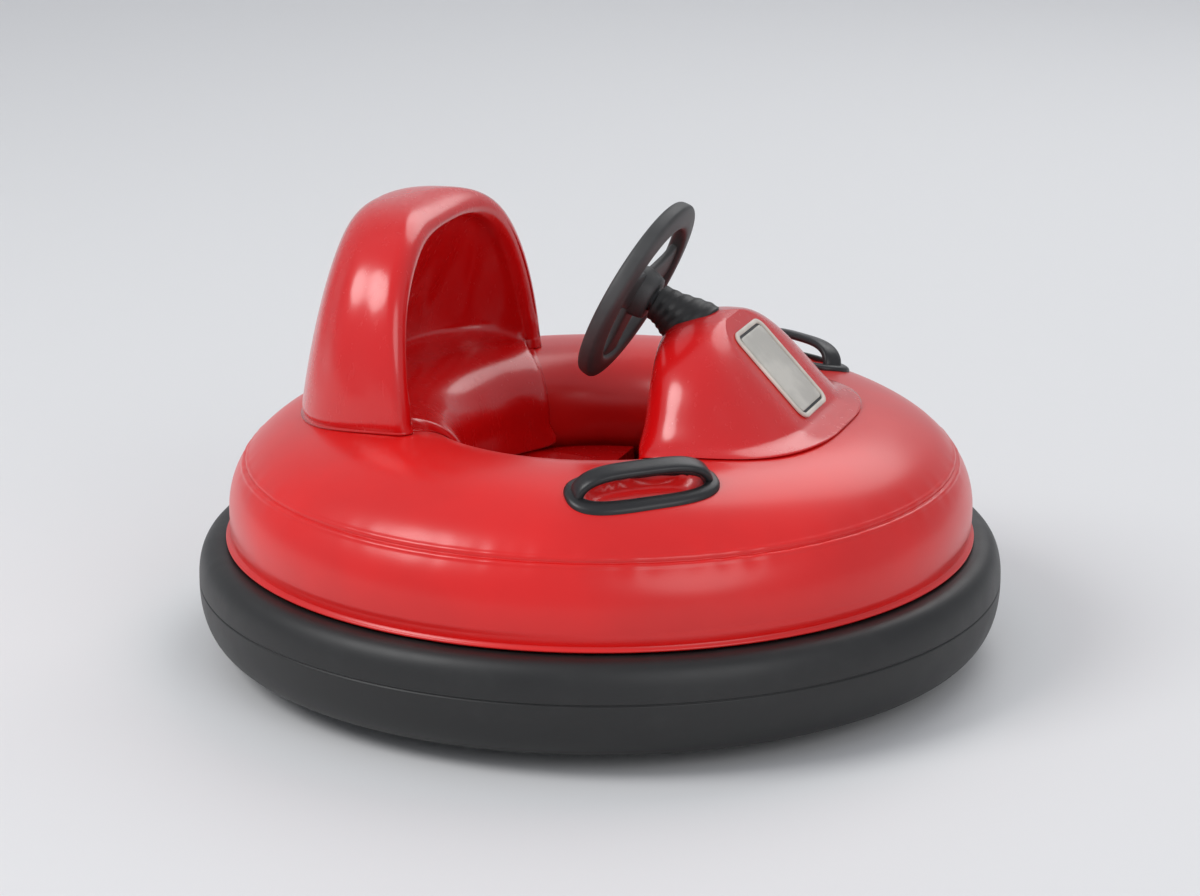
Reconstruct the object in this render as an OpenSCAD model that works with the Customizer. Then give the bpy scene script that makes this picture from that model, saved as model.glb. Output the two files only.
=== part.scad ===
// Battery bumper car for a small child: an inflated ring body on a wheeled pan,
// with a rubber bumper all round, a moulded seat and a steering console.
// Frame: X forward, Y left, Z up, millimetres, origin on the floor under the ring's axis.

/* [Bumper] */
// Outer radius of the rubber bumper
bumper_r = 389; // [370:1:410]
// Width of the bumper from the pan's rim to its widest line
bumper_w = 43; // [40:1:48]
// Floor to the lowest edge of the bumper
bumper_gap = 17; // [12:1:24]
// Height of the bumper's widest line above its lowest edge
bumper_mid_h = 55; // [48:1:60]

/* [Ring body] */
// Height of the deck that the ring lies on
deck_z = 112; // [108:1:118]
// How far the ring's welded lip reaches past the pan's rim
ring_over = 16; // [14:1:22]
// Width of the ring's section outside its highest circle
ring_out_w = 137; // [130:1:144]
// Width of the ring's section inside its highest circle
ring_in_w = 78; // [72:1:84]
// Height of the bulging side above the deck
ring_side_h = 29; // [24:1:34]
// Height of the ring above the deck
ring_h = 126; // [118:1:134]
// Height of the narrowest circle above the deck
ring_inner_h = 64; // [56:1:72]
// Height of the welded side seam above the deck
seam_h = 77; // [70:1:84]

/* [Pan and tub] */
// Height of the pan's underside
pan_z = 40; // [36:1:44]
// Thickness of the pan and tub mouldings
shell_t = 4; // [3:0.5:5]
// How far the tub's wall stands back from the ring's narrowest circle
tub_back = 44; // [42:1:48]
// Depth of the pan's stiffening ribs
rib_h = 6; // [3:1:8]
// Number of radial ribs
rib_count = 16; // [8:1:24]

/* [Drive wheel] */
// Diameter of the drive wheel
drive_d = 100; // [92:1:102]
// Width of the drive wheel's tyre
drive_w = 36; // [30:1:38]
// Inner radius of the well that the fork swings in
well_r = 69; // [68:1:71]
// Gap from the well to the tub's wall
well_gap = 7; // [5:1:10]
// Diameter of the fork's spindle
spindle_d = 16; // [12:1:20]
// Thickness of the fork's crown
crown_t = 10; // [8:1:12]
// Length and height of the gearbox on the fork's left side
gearbox_l = 56; // [48:1:58]
// Width of the gearbox
gearbox_w = 20; // [16:1:21]
// Diameter of the motor can
motor_d = 34; // [28:1:36]
// Length of the motor can outside the gearbox
motor_l = 14; // [10:1:15]

/* [Rear wheels] */
// Rear wheel centres inward from the tub's widest line
rear_in = 32; // [26:1:36]
// Diameter of the rear wheels
rear_d = 90; // [84:1:94]
// Width of the rear tyres
rear_w = 28; // [22:1:30]
// Diameter of the wheel axles
axle_d = 10; // [8:1:12]

/* [Seat] */
// Height of the seat above the deck
seat_up = 38; // [30:1:44]
// Front edge of the seat behind the ring's axis
seat_front = 15; // [8:1:22]
// Height of the seat back above the ring
seat_back_h = 189; // [170:1:205]
// Sides of the seat back inside the ring's highest circle
seat_side_in = 42; // [36:1:50]
// Front edges of the seat back's wings inside the ring's highest circle
wing_in = 84; // [78:1:90]
// Rearmost face of the seat back outside the ring's highest circle
seat_rear_out = 62; // [56:1:68]
// Thickness of the seat back at its spine
spine_t = 42; // [36:1:48]
// Thickness of the wings' rounded front edges
wing_t = 26; // [20:1:30]

/* [Console] */
// Height of the console's crown above the ring
console_h = 97; // [90:1:104]
// Rear face of the console inside the ring's highest circle
console_rear_in = 154; // [148:1:160]
// Toe of the console outside the ring's highest circle
console_toe_out = 23; // [18:1:28]
// Sides of the console's foot inside the ring's highest circle
console_side_in = 60; // [54:1:68]
// Wall of the console moulding
console_t = 4; // [3:0.5:5]
// Slope of the panel face
panel_slope = 46; // [44:1:48]
// Panel size across
panel_w = 75; // [70:1:86]
// Panel size down the slope
panel_l = 104; // [96:1:110]

/* [Steering] */
// Centre of the steering wheel behind the console's rear face
wheel_back = 30; // [26:1:34]
// Centre of the steering wheel above the console's crown
wheel_up = 16; // [12:1:20]
// Angle of the steering column above the horizontal
column_tilt = 27; // [25:1:30]
// Outer diameter of the steering wheel
wheel_d = 190; // [176:1:200]
// Thickness of the rim
rim_t = 22; // [16:1:25]
// Diameter of the column tube
column_d = 24; // [20:1:26]

/* [Handles] */
// Angle of each handle from straight ahead
handle_at = 62; // [58:1:70]
// Middle of each handle outside the ring's highest circle
handle_out = 45; // [40:1:52]
// Length of the handle's bezel
handle_l = 142; // [130:1:150]
// Width of the handle's bezel
handle_w = 70; // [62:1:76]
// Height of the grip's top above the bezel's plane
grip_h = 25; // [23:1:32]
// Diameter of the grip
grip_d = 15; // [12:1:17]

/* [Hidden] */
$fn = 96;
// Gap between pieces that lie against each other, and running gap of a shaft in its bore
fit = 0.3;
run = 0.05;

red = "#d81f26";
rubber = "#2b2b2d";
black = "#1c1c1e";
steel = "#9a9ca0";
grey = "#4a4b4f";
hub_grey = "#c9cacc";

// Heights and radii that follow from the sizes above
pan_r = bumper_r - bumper_w;
bumper_mid_z = bumper_gap + bumper_mid_h;
deck_under = deck_z - shell_t;
floor_z = pan_z + shell_t;
tub_floor_z = floor_z + shell_t;
side_in = 3;
ring_lip_r = pan_r + ring_over;
ring_side_r = ring_lip_r - side_in;
ring_crest_r = ring_side_r - ring_out_w;
ring_inner_r = ring_crest_r - ring_in_w;
side_z = deck_z + ring_side_h;
crest_z = deck_z + ring_h;
narrow_z = deck_z + ring_inner_h;
tub_r = ring_inner_r + tub_back;
drive_x = tub_r - well_r - well_gap;
seat_z = deck_z + seat_up;
seat_top_z = crest_z + seat_back_h;
console_top_z = crest_z + console_h;
console_rear_x = ring_crest_r - console_rear_in;
console_toe_x = ring_crest_r + console_toe_out;
wheel_x = console_rear_x - wheel_back;
wheel_z = console_top_z + wheel_up;
handle_r = ring_crest_r + handle_out;

// A quarter or more of a rounded outline: centre, half width, half height, squareness, angles
function bow(c, a, b, n, from, to, steps) = [
    for (i = [0:steps])
    let (t = from + (to - from) * i / steps, u = cos(t), v = sin(t))
    [c[0] + a * sign(u) * pow(abs(u), 2 / n), c[1] + b * sign(v) * pow(abs(v), 2 / n)]
];

// A closed solid through like outlines, each a list of points of the same length, between end
// faces that are given for the first outline
module loft(rings, ends) {
    count = len(rings[0]);
    last = len(rings) - 1;
    sides = [
        for (k = [0:last - 1], i = [0:count - 1], half = [0, 1])
        let (j = (i + 1) % count, a = k * count + i, b = a + count, c = (k + 1) * count + j, d = c - count)
        half == 0 ? [a, b, c] : [a, c, d]
    ];
    far_end = [for (e = ends) [for (i = [len(e) - 1:-1:0]) last * count + e[i]]];
    polyhedron([for (r = rings) each r], concat(ends, sides, far_end), convexity = 8);
}

// Copies at both sides
module both_sides() {
    children();
    mirror([0, 1, 0]) children();
}

// Section of the inflated ring, grown by a clearance
side_n = 2.1;
inner_n = 2.5;
lip_t = 3;
function ring_section(grow) = concat(
    [[ring_crest_r, deck_z - grow], [ring_lip_r + grow, deck_z - grow], [ring_lip_r + grow, deck_z + lip_t]],
    bow([ring_lip_r - 2 * lip_t, side_z], ring_side_r - ring_lip_r + 2 * lip_t + grow, side_z - deck_z - lip_t, 2, -75, -15, 4),
    bow([ring_crest_r, side_z], ring_side_r - ring_crest_r + grow, crest_z - side_z + grow, side_n, 0, 90, 20),
    bow([ring_crest_r, narrow_z], ring_crest_r - ring_inner_r + grow, crest_z - narrow_z + grow, inner_n, 96, 180, 12),
    bow([ring_crest_r, narrow_z], ring_crest_r - ring_inner_r + grow, ring_inner_h + grow, 2, 187, 264, 9)
);

module ring_solid(grow) {
    rotate_extrude() polygon(ring_section(grow));
}

// Height of the ring's skin at a radius outside its crest
function ring_top(r) = side_z + (crest_z - side_z)
    * pow(1 - pow((r - ring_crest_r) / (ring_side_r - ring_crest_r), side_n), 1 / side_n);
function ring_lean(r) = atan(ring_top(r - 0.5) - ring_top(r + 0.5));

// Radius where the side seam lies
seam_groove = 1.4;
seam_r = ring_crest_r + (ring_side_r - ring_crest_r)
    * pow(1 - pow((seam_h - ring_side_h) / (ring_h - ring_side_h), side_n), 1 / side_n);

module body_ring() {
    color(red) difference() {
        ring_solid(0);
        rotate_extrude() translate([seam_r + seam_groove / 2, deck_z + seam_h]) circle(seam_groove, $fn = 24);
    }
}

// Rubber bumper with a parting line, held by a rail round the pan's rim
rail_z = bumper_mid_z - 8;
rail_t = 6;
rail_reach = 6;
bumper_top = deck_z - 2.4;
bumper_flat = pan_r + 19;
bumper_foot = pan_r + 10;
bumper_heel = 6;
parting_groove = 1.3;

module bumper_ring() {
    inner = pan_r + fit;
    outline = concat(
        [[inner, bumper_top]],
        [[inner, rail_z + rail_t + fit], [inner + rail_reach, rail_z + rail_t + fit]],
        [[inner + rail_reach, rail_z - fit], [inner, rail_z - fit]],
        [[inner, bumper_gap + bumper_heel]],
        bow([bumper_foot, bumper_mid_z], bumper_r - bumper_foot, bumper_mid_z - bumper_gap, 2.3, -90, 0, 14),
        bow([bumper_flat, bumper_mid_z], bumper_r - bumper_flat, bumper_top - bumper_mid_z, 2.6, 6, 90, 12)
    );
    color(rubber) difference() {
        rotate_extrude() polygon(outline);
        rotate_extrude() translate([bumper_r + parting_groove / 2, bumper_mid_z + 1])
            circle(parting_groove, $fn = 24);
    }
}

// Rear wheel pockets, as boxes open to the floor, with the inner front corner just clear of the tub
pocket_gap = 7;
pocket_side = 5;
pocket_l = rear_d + 2 * pocket_gap;
pocket_w = rear_w + 2 * pocket_side;
rear_y = tub_r - rear_in;
rear_x = sqrt(pow(tub_r + shell_t + 1, 2) - pow(rear_y - pocket_w / 2 - shell_t, 2)) + pocket_l / 2 + shell_t;

axle_head = 3;
axle_head_d = axle_d + 6;
axle_bore = axle_d + 2 * run;

module pocket_box(grow, low, high) {
    translate([-rear_x - pocket_l / 2 - grow, rear_y - pocket_w / 2 - grow, low])
        cube([pocket_l + 2 * grow, pocket_w + 2 * grow, high - low]);
}

// Pan: the bottom plate with its ribs and the two rear wheel pockets
rim_wall = 1.5 * shell_t;
rib_start = 60;
rib_end = pan_r - rim_wall;
rib_ring_r = tub_r + 74;

module chassis_pan() {
    color(black) difference() {
        union() {
            translate([0, 0, pan_z]) cylinder(r = pan_r, h = shell_t);
            both_sides() pocket_box(shell_t, pan_z, deck_under);
            for (i = [0:rib_count - 1])
                rotate([0, 0, (i + 0.5) * 360 / rib_count])
                    translate([rib_start, -shell_t / 2, pan_z - rib_h]) cube([rib_end - rib_start, shell_t, rib_h + 1]);
            translate([0, 0, pan_z - rib_h]) difference() {
                cylinder(r = rib_ring_r, h = rib_h + 1);
                translate([0, 0, -1]) cylinder(r = rib_ring_r - shell_t, h = rib_h + 3);
            }
        }
        both_sides() pocket_box(0, 0, deck_z);
        translate([drive_x, 0, 0]) cylinder(r = well_r, h = deck_z);
        both_sides() translate([-rear_x, rear_y, rear_d / 2]) rotate([-90, 0, 0]) {
            cylinder(d = axle_bore, h = pocket_w + 4 * shell_t, center = true);
            for (s = [-1, 1]) translate([0, 0, s * (pocket_w / 2 + shell_t + axle_head)])
                cylinder(d = axle_head_d + 2, h = 2 * axle_head, center = true);
        }
    }
}

// Upright rim of the pan, with the rail that the bumper grips
module pan_rim() {
    color(black) union() {
        translate([0, 0, floor_z]) difference() {
            cylinder(r = pan_r, h = deck_under - floor_z);
            translate([0, 0, -1]) cylinder(r = pan_r - rim_wall, h = deck_z);
        }
        translate([0, 0, rail_z]) difference() {
            cylinder(r = pan_r + rail_reach, h = rail_t);
            translate([0, 0, -1]) cylinder(r = pan_r - 1, h = rail_t + 2);
        }
    }
}

// Round deck that the ring lies on, from the tub's wall to the pan's rim
module ring_deck() {
    color(grey) translate([0, 0, deck_under]) difference() {
        cylinder(r = pan_r, h = shell_t);
        translate([0, 0, -1]) cylinder(r = tub_r, h = shell_t + 2);
    }
}

// Tub: its wall, and its floor with the opening under the drive wheel's well
module cockpit_tub() {
    color(grey) translate([0, 0, tub_floor_z]) difference() {
        cylinder(r = tub_r + shell_t, h = deck_under - tub_floor_z);
        translate([0, 0, -1]) cylinder(r = tub_r, h = deck_z);
    }
}
module tub_floor() {
    color(grey) translate([0, 0, floor_z]) difference() {
        cylinder(r = tub_r + shell_t, h = shell_t);
        translate([drive_x, 0, -1]) cylinder(r = well_r, h = shell_t + 2);
    }
}

// Housing over the drive wheel: a well for the fork's swing under a smaller lid
dome_wall = 3;
fork_rise = 6;
crown_z = drive_d + fork_rise;
leg_t = 5;
leg_gap = 3;
fork_half = drive_w / 2 + leg_gap;
crown_l = 40;
crown_gap = 5;
dome_in_z = crown_z + crown_t + crown_gap;
dome_z = dome_in_z + shell_t;
dome_r = norm([crown_l / 2, fork_half + leg_t]) + 6;
bearing_d = 44;
bearing_body_d = 32;

module wheel_dome() {
    color(grey) translate([drive_x, 0, 0]) difference() {
        union() {
            translate([0, 0, tub_floor_z]) cylinder(r = well_r + dome_wall, h = deck_z - tub_floor_z);
            translate([0, 0, tub_floor_z]) cylinder(r = dome_r + dome_wall, h = dome_z - tub_floor_z);
        }
        cylinder(r = well_r, h = deck_under);
        cylinder(r = dome_r, h = dome_in_z);
        cylinder(d = bearing_body_d, h = dome_z + 1);
    }
}

// Seat base: a hollow box under a shallow dish, in front of the ring's inner wall
seat_r = ring_inner_r - 2;
seat_wall = 6;
dish_r = 420;
dish_depth = 11;
dish_x = -(seat_r + seat_front) / 2;

module seat_base_form(inset, top) {
    intersection() {
        translate([0, 0, tub_floor_z]) cylinder(r = seat_r - inset, h = top - tub_floor_z);
        translate([-seat_r, -seat_r, tub_floor_z])
            cube([seat_r - seat_front - inset, 2 * seat_r, top - tub_floor_z]);
    }
}

module seat_base() {
    color(red) difference() {
        seat_base_form(0, seat_z);
        translate([0, 0, -1]) seat_base_form(seat_wall, seat_z - seat_wall - dish_depth);
        translate([dish_x, 0, seat_z - dish_depth + dish_r]) sphere(dish_r);
    }
}

// The ring's skin as a path across its section: 0 at the side, 1 at the crest, 2 at the
// narrowest circle, and on to 3 straight down beside the seat; grown by a gap
lay = 0.8;
skin_drop = narrow_z - seat_z - lay;
function skin(q, g) = q <= 1
    ? [ring_crest_r + (ring_side_r - ring_crest_r + g) * pow(cos(90 * q), 2 / side_n),
       side_z + (crest_z - side_z + g) * pow(sin(90 * q), 2 / side_n)]
    : q <= 2
    ? [ring_crest_r - (ring_crest_r - ring_inner_r + g) * pow(abs(cos(90 * q)), 2 / inner_n),
       narrow_z + (crest_z - narrow_z + g) * pow(abs(sin(90 * q)), 2 / inner_n)]
    : [ring_inner_r - g, narrow_z - (q - 2) * skin_drop];
function skin_at(r) = r >= ring_crest_r
    ? acos(min(1, pow((r - ring_crest_r) / (ring_side_r - ring_crest_r), side_n / 2))) / 90
    : 2 - acos(min(1, pow((ring_crest_r - r) / (ring_crest_r - ring_inner_r), inner_n / 2))) / 90;

// Seat back: upright sections, one at each station round the back from wing to wing
seat_stations = 11;
seat_rows = 9;
arch_n = 2.6;
plan_n = 2.5;
hip_z = crest_z + 24;
wing_low_z = crest_z - 8;
liner_t = 9;
lumbar_spread = 22;
seat_half_w = ring_crest_r - seat_side_in;
wing_x = ring_crest_r - wing_in;
seat_rear_x = ring_crest_r + seat_rear_out;
spine_lean = 46;
wing_lean = 26;
top_round = 22;
top_wall = 10;
fade_n = 0.8;

function seat_rise(z) = max(0, (z - wing_low_z) / (seat_top_z - wing_low_z));
function arch(s) = pow(max(0, 1 - pow(max(0, s), arch_n)), 1 / arch_n);
function smooth(s) = let (c = min(1, max(0, s))) c * c * (3 - 2 * c);
function round_off(z) = top_round * pow(seat_rise(z), 24);
function seat_w(z) = max(9, seat_half_w * arch(seat_rise(z)));
function seat_front_x(z) = -wing_x - wing_lean * pow(seat_rise(z), 1.2) - round_off(z);
function seat_back_x(z) = -seat_rear_x + spine_lean * pow(seat_rise(z), 1.1) + round_off(z);
function seat_depth(z) = max(10, seat_front_x(z) - seat_back_x(z));
function hollow_fade(z) = pow(cos(90 * max(0, min(1, (z - hip_z) / (seat_top_z - top_wall - hip_z)))), fade_n);
function seat_hollow(z) = max(2, (seat_depth(z) - spine_t) * hollow_fade(z));
function wing_lip(z) = min(wing_t, 0.8 * seat_w(z));

// Plan places at a height: u runs 0 to 1 from the spine to a wing's edge, and past 1 round its nose
function seat_outer(u, z) = u <= 1
    ? [seat_front_x(z) - seat_depth(z) * pow(cos(90 * u), 2 / plan_n), seat_w(z) * pow(sin(90 * u), 2 / plan_n)]
    : let (e = 90 * (u - 1)) [seat_front_x(z) + wing_lip(z) / 2 * sin(e), seat_w(z) - wing_lip(z) / 2 * (1 - cos(e))];
function seat_inner(u, z) = u <= 1
    ? [seat_front_x(z) - seat_hollow(z) * pow(cos(90 * u), 2 / plan_n),
       (seat_w(z) - wing_lip(z)) * pow(sin(90 * u), 2 / plan_n)]
    : let (e = 90 * (u - 1))
      [seat_front_x(z) + wing_lip(z) / 2 * sin(e), seat_w(z) - wing_lip(z) + wing_lip(z) / 2 * (1 - cos(e))];

function turn(r, a, z) = [r * cos(a), r * sin(a), z];
function lean_of(p) = atan2(p[1], p[0]);
function row_z(k) = hip_z + (seat_top_z - hip_z) * sin(90 * k / seat_rows);

// The liner hangs from the hip over the ring's crest and down its inner wall
liner_top = 1.1;
function seat_section(u, side) =
    let (
        o = seat_outer(u, wing_low_z),
        h = seat_inner(u, wing_low_z),
        edge = seat_inner(1, wing_low_z),
        hip = seat_inner(u, hip_z),
        q0 = skin_at(norm(o)),
        a0 = lean_of(o),
        q_edge = skin_at(norm(edge)),
        q1 = u >= 1 ? skin_at(norm(h)) : q_edge + (3 - q_edge) * arch(u),
        a1 = u >= 1 ? lean_of(h) : 180 - (180 - lean_of(edge)) * u - lumbar_spread * sin(180 * u),
        q2 = min(liner_top, q1 - 0.02),
        a2 = u >= 1 ? a1 : lean_of(hip),
        rim = skin(q0, lay),
        top = skin(q2, lay + liner_t),
        t = turn(top[0], a2, top[1]),
        under = 24,
        over = 9,
        half = [
            for (k = [0:under]) let (c = skin(q0 + (q1 - q0) * k / under, lay))
                turn(c[0], a0 + (a1 - a0) * k / under, c[1]),
            for (k = [1:over])
                let (
                    v = (k - 1) / (over - 1),
                    thick = 1 + (k / over - 1) * smooth(2 * u - 1),
                    c = skin(q1 + (q2 - q1) * v, lay + liner_t * thick)
                )
                turn(c[0], a1 + (a2 - a1) * v, c[1]),
            for (k = [1:3]) let (v = k / 4)
                [t[0] + (hip[0] - t[0]) * v, t[1] + (hip[1] - t[1]) * v, t[2] + (hip_z - t[2]) * pow(v, 1.6)],
            for (k = [0:seat_rows]) let (p = seat_inner(u, row_z(k))) [p[0], p[1], row_z(k)],
            for (k = [seat_rows:-1:0]) let (p = seat_outer(u, row_z(k))) [p[0], p[1], row_z(k)],
            for (k = [2:-1:1]) let (z = rim[1] + (hip_z - rim[1]) * k / 3, p = seat_outer(u, z))
                [p[0], p[1], z]
        ]
    )
    [for (p = half) [p[0], side * p[1], p[2]]];

seat_noses = [0.35, 0.68, 0.9];
seat_round = concat(
    [for (k = [2:-1:0]) 1 + seat_noses[k]],
    [for (k = [seat_stations:-1:1]) k / seat_stations]
);

// The wing's end is a fan at its foot and a strip between its inner and outer edges above
seat_points = len(seat_section(1, 1));
seat_inner_low = seat_points - 2 * (seat_rows + 1) - 2;
seat_outer_low = seat_points - 3;
seat_end = concat(
    [for (i = [0:seat_inner_low - 1]) [seat_points - 1, i, i + 1]],
    [for (i = [1:-1:0]) [seat_outer_low + i + 1, seat_inner_low, seat_outer_low + i]],
    [
        for (k = [0:seat_rows - 1], half = [0, 1])
        let (a = seat_outer_low - k, b = seat_inner_low + k)
        half == 0 ? [a, b, b + 1] : [a, b + 1, a - 1]
    ]
);

module seat_back() {
    color(red) loft(concat(
        [for (u = seat_round) seat_section(u, 1)],
        [seat_section(0, 1)],
        [for (k = [len(seat_round) - 1:-1:0]) seat_section(seat_round[k], -1)]
    ), seat_end);
}

// Console: a thin cowl over the ring and the pedestal, through level outlines inside and out
console_rows = 12;
console_points = 52;
row_crowding = 1.15;
cowl_lay = 1.9;
cowl_low_z = narrow_z + 27;
cowl_ref_z = crest_z - 4;
console_half_w = ring_crest_r - console_side_in;
console_flare = 32;
console_body_w = console_half_w - console_flare;
console_mid_x = console_rear_x + 57;
crown_round = 37;
console_n = 2.5;

function console_rise(z) = max(0, min(1, (z - cowl_ref_z) / (console_top_z - cowl_ref_z)));
function console_w(z) = console_body_w * pow(1 - 0.95 * pow(console_rise(z), 2.4), 0.55)
    + console_flare * pow(1 - console_rise(z), 6);
function console_back(z) = console_rear_x + crown_round * pow(console_rise(z), 12);

// The front is cut off by the panel's plane, which runs out into a toe at its foot
panel_mid = [console_mid_x + 55, 0, console_top_z - 48.5];
toe_z = crest_z + 8.5;
toe_drop = 12;
toe_reach = 24;
nose_over = 4;
function panel_x(z, t) = panel_mid[0] - ((z - panel_mid[2]) * cos(panel_slope) + t) / sin(panel_slope)
    + toe_reach * smooth((toe_z - z) / toe_drop);
function console_nose(z) = min(console_toe_x, panel_x(z, 0) + nose_over);

function console_point(g, z, t) =
    let (
        zr = max(z, cowl_ref_z),
        half_l = cos(g) > 0 ? console_nose(zr) - t - console_mid_x : console_mid_x - console_back(zr) - t,
        x = console_mid_x + half_l * sign(cos(g)) * pow(abs(cos(g)), 2 / console_n)
    )
    [min(x, panel_x(z, t)), (console_w(zr) - t) * sign(sin(g)) * pow(abs(sin(g)), 2 / console_n), z];
function skin_z(r) = r <= ring_inner_r ? cowl_low_z : max(cowl_low_z, skin(skin_at(r), cowl_lay)[1]);
function plan_r(p) = norm([p[0], p[1]]);
function console_foot(g, t) = skin_z(plan_r(console_point(g, skin_z(plan_r(console_point(g, cowl_ref_z, t))), t)));
function console_loop(k, t) = [
    for (i = [0:console_points - 1])
    let (g = 360 * (i + 0.5) / console_points, z0 = console_foot(g, t))
    console_point(g, z0 + (console_top_z - t - z0) * sin(90 * pow(k / console_rows, row_crowding)), t)
];

module on_panel() {
    translate(panel_mid) rotate([0, panel_slope, 0]) translate([0, 0, 0.1]) children();
}
module on_column() {
    translate([wheel_x, 0, wheel_z]) rotate([0, 90 + column_tilt, 0]) children();
}
collar_start = 26;
collar_l = 48;
collar_d = column_d + 8;
column_start = 10;
column_end = 96;

// The charging socket sits square to the console's left side
socket_z = console_top_z - 62;
socket_d = 26;
socket_bore = 5.6;
socket_depth = 10;
socket_proud = 1.5;
socket_back = 12;
socket_lean = atan((console_w(socket_z - 4) - console_w(socket_z + 4)) / 8);
module on_socket() {
    translate([console_mid_x, console_w(socket_z), socket_z]) rotate([socket_lean - 90, 0, 0]) children();
}

module console() {
    color(red) difference() {
        loft(concat(
            [for (k = [console_rows - 1:-1:0]) console_loop(k, console_t)],
            [for (k = [0:console_rows - 1]) console_loop(k, 0)]
        ), [[for (i = [0:console_points - 1]) i]]);
        on_column() translate([0, 0, collar_start]) cylinder(d = collar_d + 2 * fit, h = collar_l);
        on_socket() translate([0, 0, -socket_back]) cylinder(d = socket_d + 2 * fit, h = 2 * socket_back);
    }
}

// Pedestal that carries the cowl on the drive wheel's housing
pedestal_back = 2;
module front_half(from) {
    translate([from, -pan_r]) square([pan_r, 2 * pan_r]);
}
module pedestal_plan(inset) {
    intersection() {
        translate([drive_x, 0]) circle(well_r + dome_wall - inset);
        circle(ring_inner_r - 2 * fit - inset);
        front_half(console_rear_x + pedestal_back + inset);
    }
}
module console_base() {
    color(grey) union() {
        difference() {
            translate([0, 0, deck_z]) linear_extrude(cowl_low_z - shell_t - deck_z) difference() {
                pedestal_plan(0);
                pedestal_plan(shell_t);
            }
            translate([drive_x, 0, 0]) cylinder(r = dome_r + dome_wall + fit, h = dome_z + fit);
        }
        translate([0, 0, cowl_low_z - shell_t]) linear_extrude(shell_t - fit) intersection() {
            circle(ring_inner_r - 2 * fit);
            front_half(console_rear_x + pedestal_back);
        }
    }
}

// Blank panel in its pale frame
frame_t = 3;
plate_t = 1.5;
frame_rim = 5;
corner_r = 12;
module rounded_plate(l, w, r, t) {
    linear_extrude(t) union() {
        square([l - 2 * r, w], center = true);
        square([l, w - 2 * r], center = true);
        for (x = [-1, 1], y = [-1, 1]) translate([x * (l / 2 - r), y * (w / 2 - r)]) circle(r);
    }
}
module panel_frame() {
    color("#d9d4c8") on_panel() difference() {
        rounded_plate(panel_l, panel_w, corner_r, frame_t);
        translate([0, 0, frame_t - plate_t])
            rounded_plate(panel_l - 2 * frame_rim, panel_w - 2 * frame_rim, corner_r - frame_rim, frame_t);
    }
}
module panel_plate() {
    color("#b9b4a6") on_panel() translate([0, 0, frame_t - plate_t])
        rounded_plate(panel_l - 2 * frame_rim - fit, panel_w - 2 * frame_rim - fit, corner_r - frame_rim, plate_t - 0.5);
}

// Collar that carries the column, through the cowl's rear corner
module column_collar() {
    color(black) on_column() translate([0, 0, collar_start]) difference() {
        cylinder(d = collar_d, h = collar_l);
        translate([0, 0, -1]) cylinder(d = column_d + 2 * run, h = collar_l + 2);
    }
}

// Steering wheel: rim, three wide spokes and the hub over the column's end
dish = 22;
hub_d = 50;
hub_taper = 8;
cap_proud = 1.5;
spoke_w = 34;
spoke_t = 8;
spoke_turns = [0, 104, -104];
module steering_wheel() {
    reach = wheel_d / 2 - rim_t / 2;
    color(black) on_column() difference() {
        union() {
            rotate_extrude() translate([reach, 0]) circle(d = rim_t, $fn = 48);
            translate([0, 0, -spoke_t / 2 - cap_proud]) cylinder(d1 = hub_d, d2 = hub_d - hub_taper, h = dish + cap_proud);
            for (a = spoke_turns) rotate([0, 0, a])
                translate([0, -spoke_w / 2, -spoke_t / 2]) cube([reach, spoke_w, spoke_t + 1]);
        }
        translate([0, 0, column_start]) cylinder(d = column_d, h = dish);
    }
}
module steering_column() {
    color(black) on_column() translate([0, 0, column_start]) cylinder(d = column_d, h = column_end - column_start);
}

// Grab handle: an oval bezel with an open middle, and a grip that arches over it
bezel_t = 5;
bezel_sink = 7;
bezel_rim = 14;
handle_twist = 9;
handle_lean = 16;
module on_handle() {
    rotate([0, 0, handle_at]) translate([handle_r, 0, ring_top(handle_r)]) rotate([0, handle_lean, 0])
        rotate([0, 0, 90 - handle_twist]) children();
}
module stadium(l, w, h) {
    linear_extrude(h) union() {
        square([l - w, w], center = true);
        for (s = [-1, 1]) translate([s * (l - w) / 2, 0]) circle(d = w);
    }
}
module handle_left() {
    foot = handle_l / 2 - bezel_rim / 2;
    span_r = (foot * foot + grip_h * grip_h) / (2 * grip_h);
    color(black) difference() {
        on_handle() union() {
            translate([0, 0, -bezel_sink]) difference() {
                stadium(handle_l, handle_w, bezel_t + bezel_sink);
                translate([0, 0, -1]) stadium(handle_l - 2 * bezel_rim, handle_w - 2 * bezel_rim, bezel_t + bezel_sink + 2);
            }
            intersection() {
                translate([0, 0, grip_h - span_r]) rotate([90, 0, 0]) rotate_extrude()
                    translate([span_r - grip_d / 2, 0]) circle(d = grip_d, $fn = 32);
                translate([-handle_l / 2, -grip_d, 0]) cube([handle_l, 2 * grip_d, 2 * grip_h]);
            }
        }
        ring_solid(fit);
    }
}
module handle_right() {
    mirror([0, 1, 0]) handle_left();
}

// Sealed battery on the tub's floor, inside the seat base
battery_l = 101;
battery_w = 90;
battery_h = 70;
module battery() {
    color(grey) translate([dish_x, 0, tub_floor_z + battery_h / 2])
        cube([battery_w, battery_l, battery_h], center = true);
}

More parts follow.
